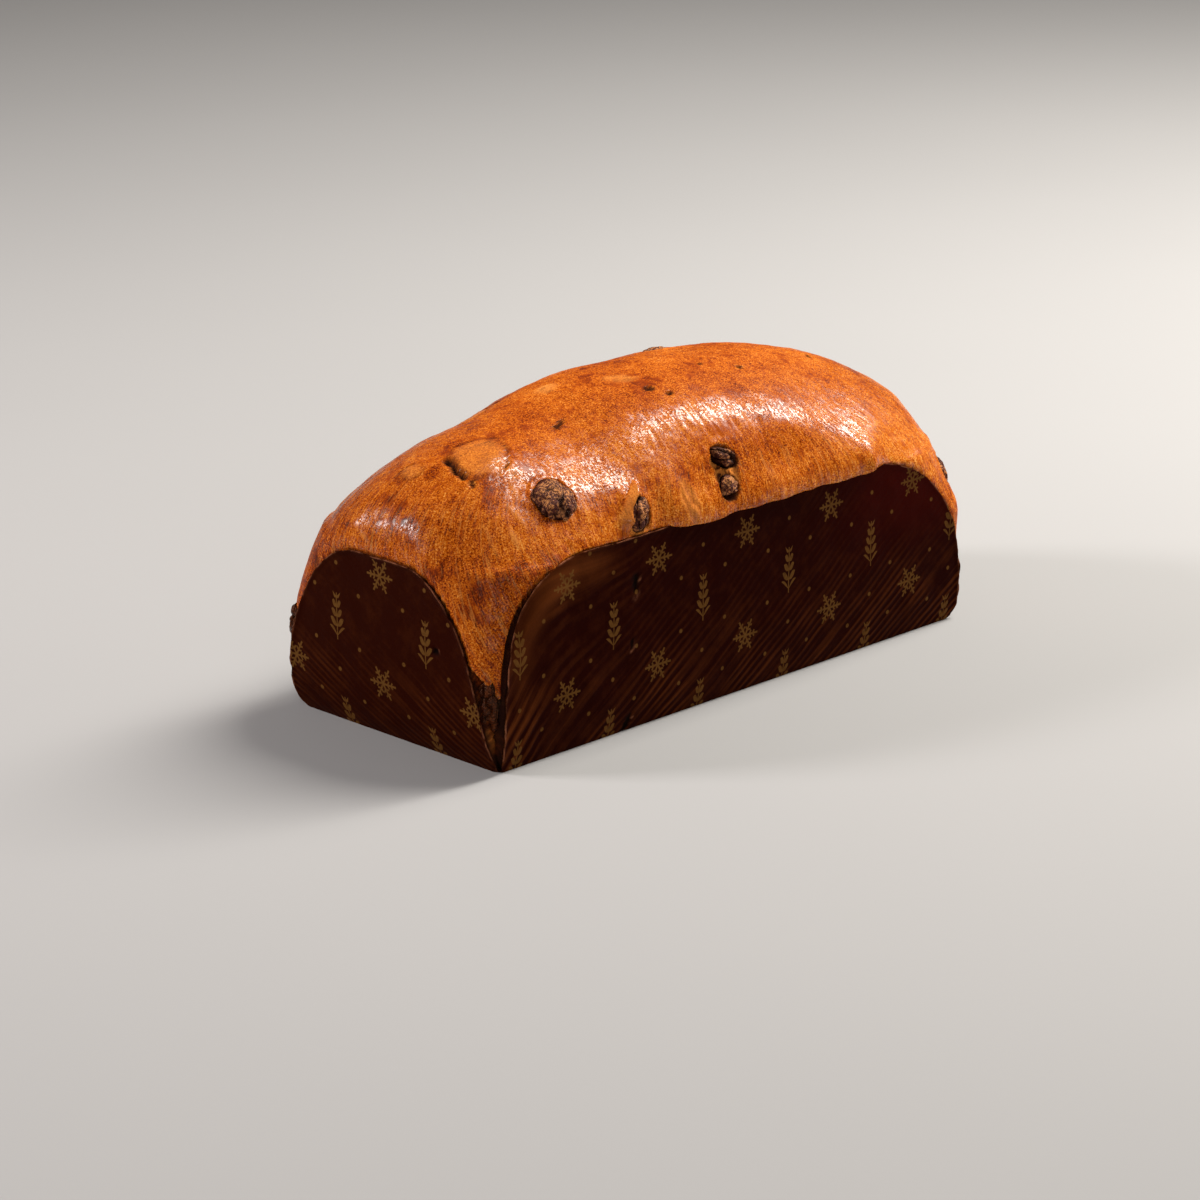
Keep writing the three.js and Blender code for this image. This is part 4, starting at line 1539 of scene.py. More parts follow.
@dataclass(frozen=True)
class TornCorner:
    """The torn, charred crumb in the near corner, under a slanting edge of skin, with a painted highlight
    along that edge, painted glints on the crumb and painted shade in its hollows and low down.

    Its places along the wall are distances from the front's middle. A pale drop of
    dough hangs in it.
    """

    edge_height: float = 38.9
    edge_slope: float = 0.94
    edge_round: float = -135.2
    rounds: Pair = (-150.0, -112.0)
    roughness: float = 2.6
    depth: float = 1.9
    lip: float = 0.9
    drop_place: Pair = (-126.0, 14.7)
    drop_size: Pair = (2.6, 4.6)
    drop_rise: float = 1.6

    def press(self, relief: Relief, along: Array, between: Array, crumbs: Array) -> tuple[Array, Array]:
        """Tears the corner open.

        Args:
            relief: The crust so far.
            along: Each vertex's distance from the front wall's middle.
            between: Which vertices lie between the front and left flaps.
            crumbs: The crumb's relief.

        Returns:
            How torn each vertex is, and how dark the crumb is there: charred, with painted shade in its
            hollows and low down.
        """
        z = relief.points[:, 2]
        above = z - (self.edge_height - self.edge_slope * (along - self.edge_round))
        here = between & (along > self.rounds[0]) & (along < self.rounds[1])
        mass = np.where(here, smooth(-above, -0.8, 1.6), 0.0)
        sideways = (along - self.drop_place[0]) / self.drop_size[0]
        upward = (z - self.drop_place[1]) / self.drop_size[1]
        drop = np.exp(-(sideways**2) - upward**2) * here
        lip = self.lip * bell(above - 1.6, 1.6) * here
        relief.rise += mass * (self.roughness * crumbs - self.depth) + lip
        relief.rise += self.drop_rise * drop
        relief.raise_trace(Trace.CRUMB, mass)
        # Painted highlight along the torn edge, and painted glints on the crumb's crests; the drop is pale
        # dough.
        edge = 0.7 * bell(above - 0.5, 0.6) * here
        for bare_and_glints in (edge, 0.4 * mass * smooth(crumbs, 0.35, 0.6), 0.9 * drop):
            relief.raise_trace(Trace.BARE_AND_GLINTS, bare_and_glints)
        # Painted shade in the crumb's hollows and towards the bottom, less on the drop.
        dark = smooth(-crumbs, -0.1, 0.35) + (1 - smooth(z, 3, 11)) - 1.5 * drop
        dark = np.clip(dark, 0, 1)
        relief.raise_trace(Trace.CHAR_AND_SHADE, mass * dark)
        return mass, dark


@dataclass(frozen=True)
class Shell:
    """The smooth skin before its relief, vertex by vertex."""

    points: Array
    outward: Array
    slopes: Array
    heights: Array
    spans: Array
    alongs: tuple[Array, ...]


@dataclass
class Crust:
    """The loaf itself: its skin with every swelling, crack and socket.

    Each band of rings has its first climb, its last and the step between rings. The
    top has half as many columns.
    """

    columns: int = 800
    corner_density: float = 1.7
    corner_share: float = 0.7
    corner_span: float = 0.055
    front_density: float = 1.8
    front_share: float = 0.9
    front_span: float = 0.13
    base: float = 1.0
    bands: tuple[Triple, ...] = (
        (1.0, 8.2, 2.4),
        (8.2, 46.0, 1.5),
        (46.0, 71.0, 2.4),
        (71.0, 78.0, 0.42),
        (78.0, 108.0, 0.75),
    )
    top_from: float = 108.0
    top_step: float = 0.8
    tuck: float = 1.0
    groove: float = 0.4
    lips: tuple[Lip, ...] = (
        Lip(Wall.FRONT, -46, 84, 2.2, 3.0),
        Lip(Wall.BACK, -66, 92, 2.3, 2.6, fade=40.0),
    )
    corner_reach: float = 13.0
    corner_height: float = 46.0
    recess: Pair = (1.0, 4.6)
    recess_end: float = 75.0
    gap_depth: float = 4.5
    crumb_size: float = 4.4
    crumb_rise: float = 1.2
    torn_corner: TornCorner = TornCorner()
    socket_depth: float = 3.0
    opened_share: float = 0.45
    stroke_lean: float = 0.6
    leaning_place: float = -100.0
    leaning_span: float = 42.0
    seed: int = 11
    grain: Grain = field(init=False)

    def __post_init__(self) -> None:
        """Draws the crust's grain."""
        self.grain = Grain(self.seed)

    def shares(self) -> Array:
        """Shares of the way round at which the columns stand, closer at the corners."""
        even = np.linspace(0, 1, 4001)
        skin = Skin(FORM, np.array([FORM.shoulder * 0.8]))
        quarter = skin.right_span[0] / skin.whole[0]
        right_corners = (quarter * self.corner_share, quarter * (2 - self.corner_share))
        density = np.ones_like(even)
        for corner in (*right_corners, 1 - right_corners[1], 1 - right_corners[0]):
            density += (self.corner_density - 1) * bell(even - corner, self.corner_span)
        density += (self.front_density - 1) * bell(even - self.front_share, self.front_span)
        walked = np.concatenate([[0], np.cumsum((density[1:] + density[:-1]) / 2)])
        targets = np.arange(self.columns) / self.columns * walked[-1]
        return np.interp(targets, walked, even)

    def climbs(self) -> tuple[Array, Array]:
        """Climbs of the rings with all columns and of those with half as many."""
        full = np.concatenate([np.arange(*band) for band in self.bands])
        return full, np.arange(self.top_from, FORM.climb_limit - 0.5, self.top_step)

    def sheet(self, climbs: Array, shares: Array) -> tuple[Array, Array, Array]:
        """Undisplaced points, their outward directions and the distances round.

        Args:
            climbs: Climb of each row.
            shares: Share of the way round of each column.

        Returns:
            Points, directions and distances, by row and column.
        """
        skin = Skin(FORM, climbs)
        rounds = np.outer(skin.whole, shares)
        points = skin.at(rounds)
        step = 0.35
        level = skin.at(rounds + step) - skin.at(rounds - step)
        higher, lower = Skin(FORM, climbs + step), Skin(FORM, climbs - step)
        upward = higher.at(np.outer(higher.whole, shares)) - lower.at(np.outer(lower.whole, shares))
        return points, unit(np.cross(level, upward)), rounds

    def slope_place(self, shares: Array, climbs: Array) -> Array:
        """A place for strokes, in metres: round the loaf without a seam, then up it."""
        whole = Skin(FORM, np.array([FORM.shoulder])).whole[0]
        radius = whole / (2 * math.pi)
        up = np.broadcast_to(climbs[:, None], (len(climbs), len(shares)))
        signed = (shares * whole + whole / 2) % whole - whole / 2
        lean = self.stroke_lean * bell(signed - self.leaning_place, self.leaning_span)
        angle = 2 * math.pi * (shares + lean * (up - FORM.shoulder) / whole)
        return np.stack([radius * np.cos(angle), radius * np.sin(angle), up], axis=-1) * METRE

    def toast_and_shade(self, points: Array, under: Array) -> Array:
        """How dark each place is, from 0 to 1, with painted shade in a band under the front shoulder, on
        the back of the left end and where the paper covers the skin.

        Args:
            points: Places on the skin.
            under: 1 where the paper covers the skin.

        Returns:
            The darkness.
        """
        x, y, z = points.T
        top = smooth(z, 88, 112)
        left = smooth(-x, 20, 118)
        right = smooth(x, 30, 120)
        low = 1 - smooth(z, 56, 80)
        broad = self.grain.layered(points + 300, 34.0, 3)
        blotch = smooth(self.grain.layered(points + 500, 9.0, 2), 0.12, 0.5)
        tone = 0.49 + 0.07 * top + 0.06 * left - 0.04 * right + 0.08 * low + 0.14 * broad
        # Painted shade: a band under the front shoulder, and the back of the left end.
        painted_shade = bell(z - 88, 6) * smooth(-y, 20, 44) + 1.2 * smooth(y, 12, 36) * smooth(-x, 96, 120)
        # Painted shade also where the paper covers the skin.
        return tone + 0.02 + 0.1 * painted_shade + blotch * (0.06 + 0.11 * left) + 0.1 * under

    def set_back(self, relief: Relief, shell: Shell) -> None:
        """Sets the skin back where two flaps meet, most of all low down."""
        z = relief.points[:, 2]
        low = 1 - smooth(z, 0, self.corner_height)
        fade = 1 - smooth(z, self.corner_height, self.recess_end)
        depth = self.recess[0] + (self.recess[1] - self.recess[0]) * low
        for long_flap, end_flap in CORNERS:
            middle = (long_flap.edge(LONG_LEFT, z) + shell.spans - end_flap.edge(END_NEAR, z)) / 2
            here = np.abs(shell.alongs[long_flap.wall]) - middle
            near_end = np.abs(shell.alongs[end_flap.wall]) < shell.spans
            relief.rise -= np.where(near_end, depth * fade * bell(here, self.corner_reach), 0.0)

    def corners(self, relief: Relief, shell: Shell, depths: list[Array]) -> None:
        """Sets the corners back, opens a gap beside the front flap with painted shade in it, and roughens
        the crumb, with painted shade on its low places.

        Args:
            relief: The crust so far.
            shell: The smooth skin.
            depths: Each vertex's distance inside each flap.
        """
        self.set_back(relief, shell)
        z, along = relief.points[:, 2], shell.alongs[Wall.FRONT]
        gap = np.minimum(-depths[Wall.FRONT], 30.0)
        gap_width = 1.0 + 0.9 * smooth(z, 26, 40) * (1 - smooth(z, 48, 66))
        beside = (1 - smooth(gap, 0.5, gap_width)) * smooth(z, 4, 18) * (1 - smooth(z, 58, 70))
        beside = np.where((along < 0) & (gap > -1) & (z < 70), beside, 0.0)
        relief.rise -= self.gap_depth * beside
        # Painted shade in the gap beside the front flap.
        relief.raise_trace(Trace.CHAR_AND_SHADE, beside)
        crumbs = relief.grain.layered(relief.points + 33, self.crumb_size, 4)
        between = (gap > -1) & (depths[Wall.LEFT] < 1)
        mass, dark = self.torn_corner.press(relief, along, between, crumbs)
        others = (np.maximum.reduce(depths) < 0.5) & (mass == 0) & (z < 34)
        rough = np.where(others, 1 - smooth(z, 16, 32), 0.0)
        relief.rise += rough * self.crumb_rise * crumbs
        relief.raise_trace(Trace.CRUMB, rough)
        # Painted shade on the low crumb, as in the torn corner.
        relief.raise_trace(Trace.CHAR_AND_SHADE, rough * dark)

    def sockets(self, relief: Relief) -> None:
        """Opens the skin for each dried fruit, with a groove round it, a low swelling and painted shadow
        round it, wider on one side.
        """
        for fruit in FRUIT:
            spot, axes = fruit.place(), fruit.axes()
            away = relief.points - spot.point
            a, b, c = away @ axes[0], away @ axes[1], away @ axes[2]
            half_length, half_width = fruit.footprint()
            where = np.flatnonzero((np.hypot(a, b) < 3 * half_length) & (np.abs(c) < 2 * fruit.size[2]))
            a, b = a[where] / half_length, b[where] / half_width
            ring = np.hypot(a, b) * (1 + 0.14 * relief.grain.layered(relief.points[where] + 9, 4.0, 2))
            level, upward, _ = spot.local(relief.points[where])
            side = (upward * 0.6 - level * 0.8) / (np.hypot(upward, level) + 0.5)
            rim = 0.1 + 0.25 * smooth(side, -0.1, 0.8)
            sunk = self.socket_depth * (1 - smooth(ring, 0.85, 1.06))
            relief.rise[where] += fruit.rimmed * rim * bell(ring - 1.2, 0.2) - sunk
            # Painted shadow round the fruit, wider on one side.
            shade = 1 - smooth(ring, 0.98, 1.07 + 0.1 * smooth(-side, -0.2, 0.8))
            relief.raise_trace(Trace.CHAR_AND_SHADE, shade, where)

    def wrinkles(self, relief: Relief, slope: Array) -> Array:
        """The skin's own fine relief.

        Args:
            relief: The crust so far.
            slope: The place for strokes at each vertex, in millimetres.

        Returns:
            Rise at each vertex.
        """
        x, y, z = relief.points.T
        free = smooth(z, 75, 87)
        hills = np.sin(x / 19 + 1.3) * np.sin(y / 17 + z / 29)
        knolls = np.sin(x / 8.5 - y / 11) * np.cos(z / 9 + x / 23)
        slow = free * (0.7 * hills + 0.35 * knolls)
        grain, combed = relief.grain, relief.traces[Trace.COMB]
        dimples = 0.16 * grain.layered(relief.points, 7.0, 2)
        down = grain.value(slope, (3.2, 3.2, 11.0))
        over = grain.value(relief.points + 7, (3.2, 11.0, 11.0))
        calm = 1 - 0.6 * smooth(-x, 96, 116)
        creases = -0.2 * calm * np.abs(over + (down - over) * combed)
        fine_down = grain.value(slope + 50, (1.9, 1.9, 6.0))
        fine_over = grain.value(relief.points + 57, (1.9, 6.0, 6.0))
        strokes = 0.08 * calm * (fine_over + (fine_down - fine_over) * combed)
        return slow + dimples + creases + strokes

    def build(self, crust: bpy.types.Material, crumb: bpy.types.Material) -> bpy.types.Object:
        """Makes the loaf's mesh.

        Args:
            crust: The skin's material.
            crumb: The material of torn, charred and covered places, and of places painted with shade.

        Returns:
            The piece.
        """
        shares = self.shares()
        full, top = self.climbs()
        shell = self.shell(((full, shares), (top, shares[::2])))
        depths = [flap.depth(along, shell.heights) for flap, along in zip(FLAPS, shell.alongs)]
        relief = self.worked(shell, depths)
        final = self.tucked(relief, shell, np.maximum.reduce(depths))
        faces = self.faces(len(full), len(top))
        crown = FORM.pinch(np.array([[0.0, 0.0, FORM.shoulder + FORM.crown]]))
        final = np.concatenate([final, [[0.0, 0.0, self.base]], crown])
        carried = {t.value: np.append(v, v[[0, -1]]) for t, v in relief.traces.items()}
        carried[Trace.SLOPE.value] = np.concatenate([shell.slopes, shell.slopes[[0, -1]]])
        piece = mesh_object("baked_loaf", final, faces, carried)
        # Torn, charred and painted-shade places take the duller material.
        opened = np.maximum(carried[Trace.CHAR_AND_SHADE.value], carried[Trace.CRUMB.value])
        inner = np.array([opened[list(face)].mean() > self.opened_share for face in faces], dtype=np.int32)
        settle(piece, "loaf", "crust", crust, crumb)
        piece.data.polygons.foreach_set("material_index", inner)
        return piece

    def shell(self, parts: tuple[tuple[Array, Array], ...]) -> Shell:
        """The smooth skin, vertex by vertex.

        Args:
            parts: The climbs of the rows and the shares of the columns of each part.

        Returns:
            The skin, part after part.
        """
        gathered = []
        for climbs, shares in parts:
            points, outward, rounds = self.sheet(climbs, shares)
            vectors = (points, outward, self.slope_place(shares, climbs))
            skin = Skin(FORM, climbs)
            whole = skin.whole[:, None]
            values = [np.repeat(row, len(shares)) for row in (skin.heights, skin.right_span)]
            for middle in skin.middles():
                values.append(((rounds - middle[:, None] + whole / 2) % whole - whole / 2).ravel())
            gathered.append([vector.reshape(-1, 3) for vector in vectors] + values)
        points, outward, slopes, heights, spans, *alongs = (np.concatenate(v) for v in zip(*gathered))
        return Shell(points, outward, slopes, heights, spans, tuple(alongs))

    def worked(self, shell: Shell, depths: list[Array]) -> Relief:
        """The crust with its wrinkles, marks, corners and sockets.

        Args:
            shell: The smooth skin.
            depths: Each vertex's distance inside each flap.

        Returns:
            The crust's relief and traces.
        """
        z = shell.points[:, 2]
        zero = np.zeros(len(z))
        traces = {t: zero.copy() for t in Trace if t is not Trace.SLOPE}
        traces[Trace.COMB] = 1 - smooth(shell.heights, 86, 103)
        patchy = 0.5 * self.grain.layered(shell.points + 700, 26.0, 3)
        low = 1.2 * (1 - smooth(z, 60, 76))
        traces[Trace.DULL] = np.clip(smooth(z, 98, 110) + low + patchy, 0.0, 1.0)
        relief = Relief(shell.points, zero, traces, self.grain)
        relief.rise += self.wrinkles(relief, shell.slopes / METRE)
        for mark in SWELLS + MARKS:
            mark.press(relief)
        self.corners(relief, shell, depths)
        self.sockets(relief)
        return relief

    def overhang(self, shell: Shell) -> tuple[Array, Array, Array]:
        """How far the lips of dough push out and hang down, and where they are."""
        out, drop, where = np.zeros((3, len(shell.points)))
        ripple = self.grain.layered(shell.points * (1, 1, 0.2) + 210, 15.0, 3)
        for lip in self.lips:
            behind = shell.points[:, 1] > 0
            facing = ~behind if lip.wall is Wall.FRONT else behind
            window = np.where(facing, lip.window(shell.alongs[lip.wall]), 0.0)
            level = shell.heights - lip.crest
            out += lip.out * window * bell(level, np.where(level < 0, 2.4, 6.0)) * (1 + 0.22 * ripple)
            drop += lip.drop * window * bell(level + 1, 3.0) * (1 + 0.26 * ripple)
            where = np.maximum(where, window)
        return out, drop, where

    def tucked(self, relief: Relief, shell: Shell, inside: Array) -> Array:
        """The crust's final places: free above the paper and tucked in behind it.

        Args:
            relief: The crust so far, which gets its last traces.
            shell: The smooth skin.
            inside: Each vertex's distance inside the nearest flap.

        Returns:
            The places.
        """
        points, outward = shell.points, shell.outward
        out, drop, lips = self.overhang(shell)
        gap = self.groove * (1 + 0.8 * self.grain.layered(points + 120, 6.0, 2)) * (1 - lips)
        under = smooth(inside + gap, 0, gap + 0.5)
        rise = relief.rise * (1 - under) - self.tuck * under
        # Painted shade on the skin behind the paper.
        relief.raise_trace(Trace.CHAR_AND_SHADE, smooth(under, 0.45, 0.95) * 0.85)
        relief.traces[Trace.TOAST_AND_SHADE] = self.toast_and_shade(points, under)
        sideways = unit(outward * (1, 1, 0))
        firm = np.where((shell.heights < FORM.shoulder / 2)[:, None], sideways, outward)
        covered = np.clip(1 - (inside - 0.2) / 0.6, 0.0, 1.0)
        final = points + firm * rise[:, None] + sideways * (out * covered)[:, None]
        final[:, 2] -= drop * covered
        return final

    def faces(self, full_rows: int, top_rows: int) -> list:
        """Faces of the whole skin, closed below and above.

        Args:
            full_rows: Rings with all columns.
            top_rows: Rings with half the columns.

        Returns:
            Vertex numbers of each face.
        """
        count, half = self.columns, self.columns // 2
        start = full_rows * count
        faces = grid_faces(full_rows, count) + grid_faces(top_rows, half, start)
        last = start - count
        for i in range(half):
            a, b, c = last + 2 * i, last + 2 * i + 1, last + (2 * i + 2) % count
            lower, upper = start + i, start + (i + 1) % half
            faces += [(a, b, lower), (b, upper, lower), (b, c, upper)]
        bottom = start + top_rows * half
        rim = bottom - half
        faces += [(bottom, (i + 1) % count, i) for i in range(count)]
        faces += [(bottom + 1, rim + i, rim + (i + 1) % half) for i in range(half)]
        return faces


# ---- Paper case ----


@dataclass(frozen=True)
class Wound:
    """A small split, hole or notch in a flap: a slim ellipse or wedge."""

    wall: Wall
    along: float
    level: float
    wide: float
    tall: float
    lean: float = 0.0
    taper: float = 0.0

    def near(self, along: Array, level: Array, taper: float) -> tuple[Array, Array]:
        """Distances up and sideways from the wound's middle, in half sizes."""
        up = (level - self.level) / self.tall
        side = along - self.along - self.lean * (level - self.level)
        return up, side / (self.wide * (1 + taper * up))

    def share(self, along: Array, level: Array) -> Array:
        """How much each point of the flap belongs to the wound, from 0 to 1."""
        up, side = self.near(along, level, self.taper)
        return 1 - smooth(np.hypot(up, np.where(np.abs(up) < 1, side, 9.0)), 0.72, 1.0)

    def lip(self, along: Array, level: Array) -> Array:
        """The light torn fibres beside and below the wound, partly painted glints, from 0 to 1."""
        up, side = self.near(along, level, 0.0)
        return bell(np.hypot(up, side) - 1.15, 0.16) * smooth(side - up, 0.2, 0.9)


@dataclass(frozen=True)
class FlapSheet:
    """One flap unrolled, as rows and columns of points with what damages it."""

    flap: Flap
    skin: Skin
    along: Array
    level: Array
    depth: Array
    flat: Array
    wounds: list[Wound]


@dataclass
class PaperCase:
    """The folded case: a floor and four rounded flaps of thin stiff paper."""

    thickness: float = 0.45
    proud: float = 0.3
    rows: int = 74
    long_columns: int = 210
    end_columns: int = 104
    floor_columns: int = 64
    curl: float = 0.45
    curl_reach: float = 2.2
    ragged: float = 0.35
    slit_depth: float = 0.9
    wounds: tuple[Wound, ...] = (
        Wound(Wall.FRONT, -58.0, 55.0, 1.7, 4.6, taper=0.45),
        Wound(Wall.FRONT, -59.4, 33.0, 1.0, 2.2),
        Wound(Wall.FRONT, -60.2, 3.0, 1.7, 4.2, lean=0.5),
        Wound(Wall.LEFT, 27.8, 40.5, 1.8, 1.6),
    )
    seed: int = 23
    grain: Grain = field(init=False)

    def __post_init__(self) -> None:
        """Draws the paper's grain."""
        self.grain = Grain(self.seed)

    def unrolled(self, flap: Flap) -> FlapSheet:
        """One flap as a flat grid with a slightly ragged outline.

        Args:
            flap: Its outline.

        Returns:
            The grid.
        """
        columns = self.long_columns if flap.wall.is_long else self.end_columns
        climb = (1 - np.cos(np.linspace(0, math.pi, self.rows + 1))) / 2
        climb = 0.5 * climb + 0.5 * np.linspace(0, 1, self.rows + 1) ** 0.9
        heights = flap.height * climb
        step = np.linspace(-1, 1, columns + 1)
        share = 0.5 * step + 0.5 * np.sin(step * math.pi / 2)
        left, right = flap.edge(flap.left, heights), flap.edge(flap.right, heights)
        line = np.stack([heights + 9 * flap.wall, heights * 0, heights * 0], axis=-1)
        rough = self.ragged * self.grain.layered(line, 5.0, 3)
        rough *= smooth(heights, 3, 10) * (1 + 1.3 * (1 - smooth(heights, 24, 44)))
        along = np.where(share < 0, share * (left + rough)[:, None], share * (right + rough[::-1])[:, None])
        level = np.broadcast_to(heights[:, None], along.shape)
        depth = np.minimum(flap.depth(along, level), 200.0)
        flat = np.stack([along, level, np.full(along.shape, 40.0 * flap.wall)], axis=-1)
        wounds = [wound for wound in self.wounds if wound.wall is flap.wall]
        return FlapSheet(flap, Skin(FORM, FORM.climb(heights)), along, level, depth, flat, wounds)

    def wrapped(self, sheet: FlapSheet, lips: tuple[Lip, ...], slit: Array) -> list[Array]:
        """A flap's outer and inner face, wrapped round the body.

        Args:
            sheet: The flap unrolled.
            lips: The swollen dough, under which its edge lies flat.
            slit: Where it is damaged, from 0 to 1.

        Returns:
            The points of both faces, by row and column.
        """
        wall, height = sheet.flap.wall, sheet.flap.height
        ripple = self.grain.layered(sheet.flat, 17.0, 3)
        top_noise = 0.3 * self.grain.layered(sheet.flat * (1, 0, 1) + 77, 7.0, 3)
        hidden = sum((lip.window(sheet.along) for lip in lips if lip.wall is wall), 0 * sheet.along)
        near_edge = 1 - smooth(np.abs(sheet.depth), 0.0, self.curl_reach)
        near_top = smooth(sheet.level, height * 0.75, height)
        curl = self.curl * near_edge * (1 + 0.9 * ripple) * (1 - hidden * near_top)
        foot = smooth(sheet.level, 0, 6)
        offset = self.proud + (0.32 * ripple * (1 - 0.8 * near_edge) + curl) * foot
        rounds = sheet.skin.middles()[wall][:, None] + sheet.along
        both = []
        for stand in (offset, offset - self.thickness):
            face = sheet.skin.at(rounds, stand)
            face[..., 2] += top_noise * near_top * near_edge
            both.append(face - slit[..., None] * self.slit_depth * unit(face * (1, 1, 0)))
        return both

    def dressed(self, sheet: FlapSheet, slit: Array) -> dict[str, Array]:
        """What the points of a flap's outer face carry for the finish.

        Args:
            sheet: The flap unrolled.
            slit: Where it is damaged, from 0 to 1.

        Returns:
            The traces, by row and column.
        """
        along, level, depth = sheet.along, sheet.level, sheet.depth
        low = 1 - smooth(level, 6, 46)
        corner = (1 - smooth(depth, 4, 30)) * (1 - smooth(along, -100, -40))
        patchy = 0.75 + 0.5 * self.grain.layered(sheet.flat + 140, 24.0, 2)
        # How clearly the flutes show, in their relief and in their painted light and shade.
        pressed = np.clip((0.08 + 0.62 * low + 0.75 * corner) * patchy, 0, 1)
        if sheet.flap.wall.is_long:
            lean = 0.62 + 0.7 * smooth(along, -116, -50)
            # Painted sheen near the long flap's left edge.
            pale = 0.8 * bell(depth - 6, 5) * smooth(level, 24, 40) * (1 - smooth(along, -90, -60)) * patchy
            # Painted sheen high up towards one end of the long flap.
            painted_sheen = 0.9 * smooth(along, 25, 100) * smooth(level, 25, 66)
        else:
            lean = np.full(along.shape, -1.6)
            pressed *= 0.55
            # A slight warm tint all over the end flaps.
            pale = 0.05 + 0 * along
            painted_sheen = 0 * along
        # Cut edges and the wounds' lips get the paler edge colour, broken into painted glints.
        rim = 1 - smooth(np.abs(depth), 0.0, 0.5)
        for wound in sheet.wounds:
            rim = np.maximum(rim, wound.lip(along, level))
        return {
            "slit": slit,
            "sheet": np.stack([along * METRE, level * METRE, lean], axis=-1),
            "pressed": pressed,
            "painted_sheen": painted_sheen,
            "pale": np.clip(pale, 0, 1),
            "rim": rim,
        }

    def flap(self, flap: Flap, lips: tuple[Lip, ...]) -> tuple[Array, list, dict[str, Array]]:
        """One flap as a closed thin sheet wrapped round the body.

        Args:
            flap: Its outline.
            lips: The swollen dough, under which its edge lies flat.

        Returns:
            Its points, its faces and what its vertices carry.
        """
        sheet = self.unrolled(flap)
        slit = np.zeros(sheet.along.shape)
        for wound in sheet.wounds:
            slit = np.maximum(slit, wound.share(sheet.along, sheet.level))
        outer, inner = self.wrapped(sheet, lips, slit)
        rows, width = slit.shape
        faces = grid_faces(rows, 2 * width)
        last = (rows - 1) * 2 * width
        for i in range(width - 1):
            facing = 2 * width - 1 - i
            faces.append((i, facing, facing - 1, i + 1))
            faces.append((last + i, last + i + 1, last + facing - 1, last + facing))
        carried = {}
        for name, values in self.dressed(sheet, slit).items():
            both = np.concatenate([values, values[:, ::-1]], axis=1)
            carried[name] = both.reshape(rows * 2 * width, *values.shape[2:])
        carried["outer"] = np.concatenate([0 * slit + 1, 0 * slit], axis=1).ravel()
        return np.concatenate([outer, inner[:, ::-1]], axis=1).reshape(-1, 3), faces, carried

    def floor(self) -> tuple[Array, list, dict[str, Array]]:
        """The floor as a closed thin slab.

        Returns:
            Its points, its faces and what its vertices carry.
        """
        skin = Skin(FORM, np.array([0.0]))
        count = 4 * self.floor_columns
        rounds = np.arange(count)[None, :] / count * skin.whole[0]
        outline = skin.at(rounds)[0]
        top = np.column_stack([outline[:, :2], np.full(count, self.thickness)])
        points = np.concatenate([outline, top, [[0, 0, 0], [0, 0, self.thickness]]])
        faces = grid_faces(2, count)
        faces += [(2 * count, (i + 1) % count, i) for i in range(count)]
        faces += [(2 * count + 1, count + i, count + (i + 1) % count) for i in range(count)]
        plain = np.zeros(len(points))
        carried = {name: plain for name in ("slit", "painted_sheen", "pale", "rim", "outer")}
        carried["sheet"] = points * METRE
        carried["pressed"] = plain + 0.3
        return points, faces, carried

    def build(self, finish: bpy.types.Material, lips: tuple[Lip, ...]) -> bpy.types.Object:
        """Makes the case's mesh.

        Args:
            finish: Its material.
            lips: The swollen dough over its long flaps.

        Returns:
            The piece.
        """
        parts = [self.flap(flap, lips) for flap in FLAPS] + [self.floor()]
        points, faces, carried = [], [], {}
        start = 0
        for part_points, part_faces, part_carried in parts:
            points.append(part_points)
            faces += [[v + start for v in face] for face in part_faces]
            for name, values in part_carried.items():
                carried.setdefault(name, []).append(values)
            start += len(part_points)
        traces = {name: np.concatenate(values) for name, values in carried.items()}
        piece = mesh_object("folded_paper_case", np.concatenate(points), faces, traces)
        piece.data.set_sharp_from_angle(angle=math.radians(50))
        settle(piece, "paper_case", "case_paper", finish)
        return piece


# ---- Studio ----


@dataclass(frozen=True)
class SoftLight:
    """A rectangular soft light that faces the loaf."""

    name: str
    direction: Triple
    distance: float
    size: Pair
    power: float
    colour: Colour = (1.0, 1.0, 1.0)


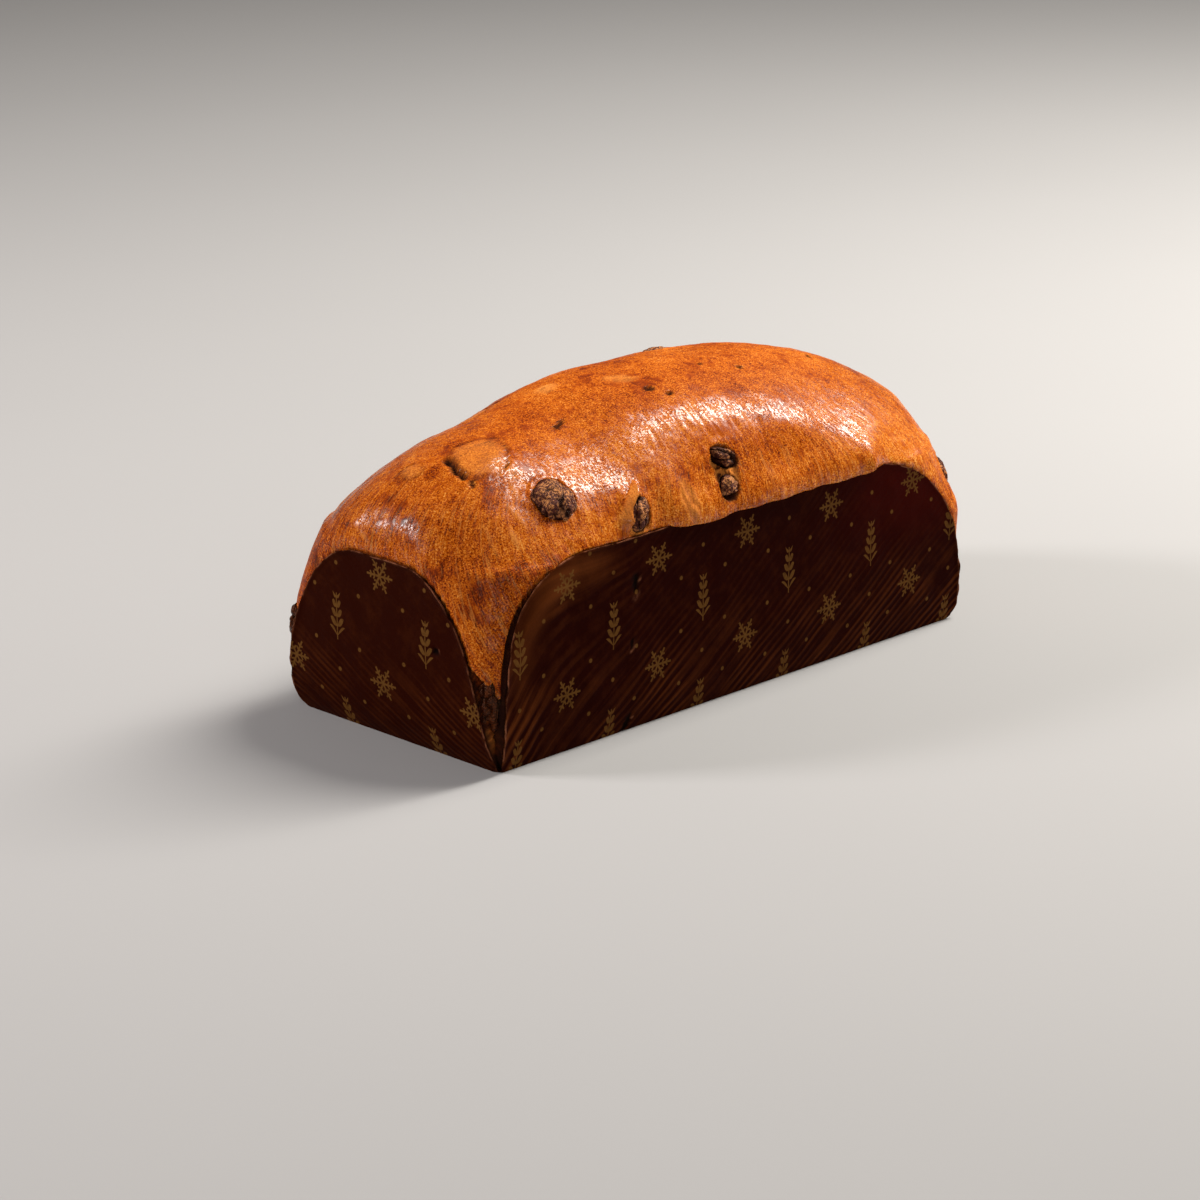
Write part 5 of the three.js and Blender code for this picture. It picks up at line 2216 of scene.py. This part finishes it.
@dataclass(frozen=True)
class Studio:
    """A plain pale floor, soft lights and the camera."""

    floor_size: float = 14.0
    floor_colour: Colour = (0.45, 0.445, 0.455)
    world_colour: Colour = (1.0, 0.93, 0.86)
    world_strength: float = 0.11
    aim: Triple = (0.0, 0.0, 0.06)
    camera_place: Triple = (-1.02225, -0.991, 0.4886)
    camera_axes: tuple[Triple, ...] = (
        (0.702877, -0.711311, 0.0),
        (0.220988, 0.218367, 0.950516),
        (-0.676112, -0.668096, 0.310676),
    )
    lens: float = 120.0
    lights: tuple[SoftLight, ...] = (
        SoftLight("key", (0.66, -0.10, 0.74), 1.5, (0.46, 1.2), 20.0, (1.0, 0.95, 0.85)),
        SoftLight("key_core", (0.65, -0.13, 0.75), 1.45, (0.17, 1.15), 17.0, (1.0, 0.97, 0.90)),
        SoftLight("left_rim", (-0.58, 0.50, 0.42), 1.6, (0.34, 0.34), 15.0, (1.0, 0.95, 0.93)),
        SoftLight("fill", (-0.55, -0.8, 0.42), 2.2, (1.2, 1.2), 6.6, (1.0, 0.95, 0.88)),
    )

    def floor(self) -> None:
        """Lays the floor just under the case."""
        half = self.floor_size / 2
        corners = [(-half, -half, 0.0), (half, -half, 0.0), (half, half, 0.0), (-half, half, 0.0)]
        mesh = bpy.data.meshes.new("studio_floor")
        mesh.from_pydata(corners, [], [(0, 1, 2, 3)])
        piece = bpy.data.objects.new("studio_floor", mesh)
        bpy.context.scene.collection.objects.link(piece)
        material, shader, surface = new_material("matte_floor")
        shade = shader.noise(shader.place(), 3.0, detail=2.0)
        darker = tuple(0.96 * part for part in self.floor_colour)
        colour = shader.blend(shade, self.floor_colour, darker)
        shader.fill(surface, {"Base Color": colour, "Roughness": 0.85})
        mesh.materials.append(material)

    def light(self, soft: SoftLight) -> None:
        """Hangs one soft light, facing the loaf."""
        lamp = bpy.data.lights.new(soft.name, "AREA")
        lamp.shape = "RECTANGLE"
        lamp.size, lamp.size_y = soft.size
        lamp.energy = soft.power
        lamp.color = soft.colour
        holder = bpy.data.objects.new(soft.name, lamp)
        toward = Vector(soft.direction).normalized()
        holder.location = Vector(self.aim) + toward * soft.distance
        holder.rotation_euler = toward.to_track_quat("Z", "Y").to_euler()
        bpy.context.scene.collection.objects.link(holder)

    def camera(self) -> None:
        """Places the camera at the photograph's viewing angle."""
        lens = bpy.data.cameras.new("view")
        lens.lens = self.lens
        lens.sensor_width = 36.0
        lens.clip_start = 0.01
        holder = bpy.data.objects.new("view", lens)
        turn = Matrix(self.camera_axes).transposed().to_4x4()
        holder.matrix_world = Matrix.Translation(self.camera_place) @ turn
        bpy.context.scene.collection.objects.link(holder)
        bpy.context.scene.camera = holder

    def world(self) -> None:
        """Sets the even light that comes from all round."""
        world = bpy.data.worlds.new("studio")
        world.use_nodes = True
        backdrop = world.node_tree.nodes["Background"]
        backdrop.inputs["Color"].default_value = (*self.world_colour, 1.0)
        backdrop.inputs["Strength"].default_value = self.world_strength
        bpy.context.scene.world = world
        bpy.context.scene.view_settings.view_transform = "Standard"

    def build(self) -> None:
        """Sets up everything round the loaf."""
        self.floor()
        for soft in self.lights:
            self.light(soft)
        self.world()
        self.camera()


def main() -> None:
    """Builds the loaf, its case and its fruit, then the studio round them."""
    logging.basicConfig(level=logging.INFO, format="%(message)s")
    Studio().build()
    groups = Groups()
    crust = Crust()
    crust.build(CrustFinish().material(groups), DRY_CRUMB_AND_SHADE.material(groups))
    PaperCase().build(PaperFinish().material(groups), crust.lips)
    dusty = FruitFinish().material(groups)
    charred = CHARRED_FRUIT.material(groups)
    for fruit in FRUIT:
        fruit.build(charred if fruit.charred else dusty)


if __name__ == "__main__":
    main()
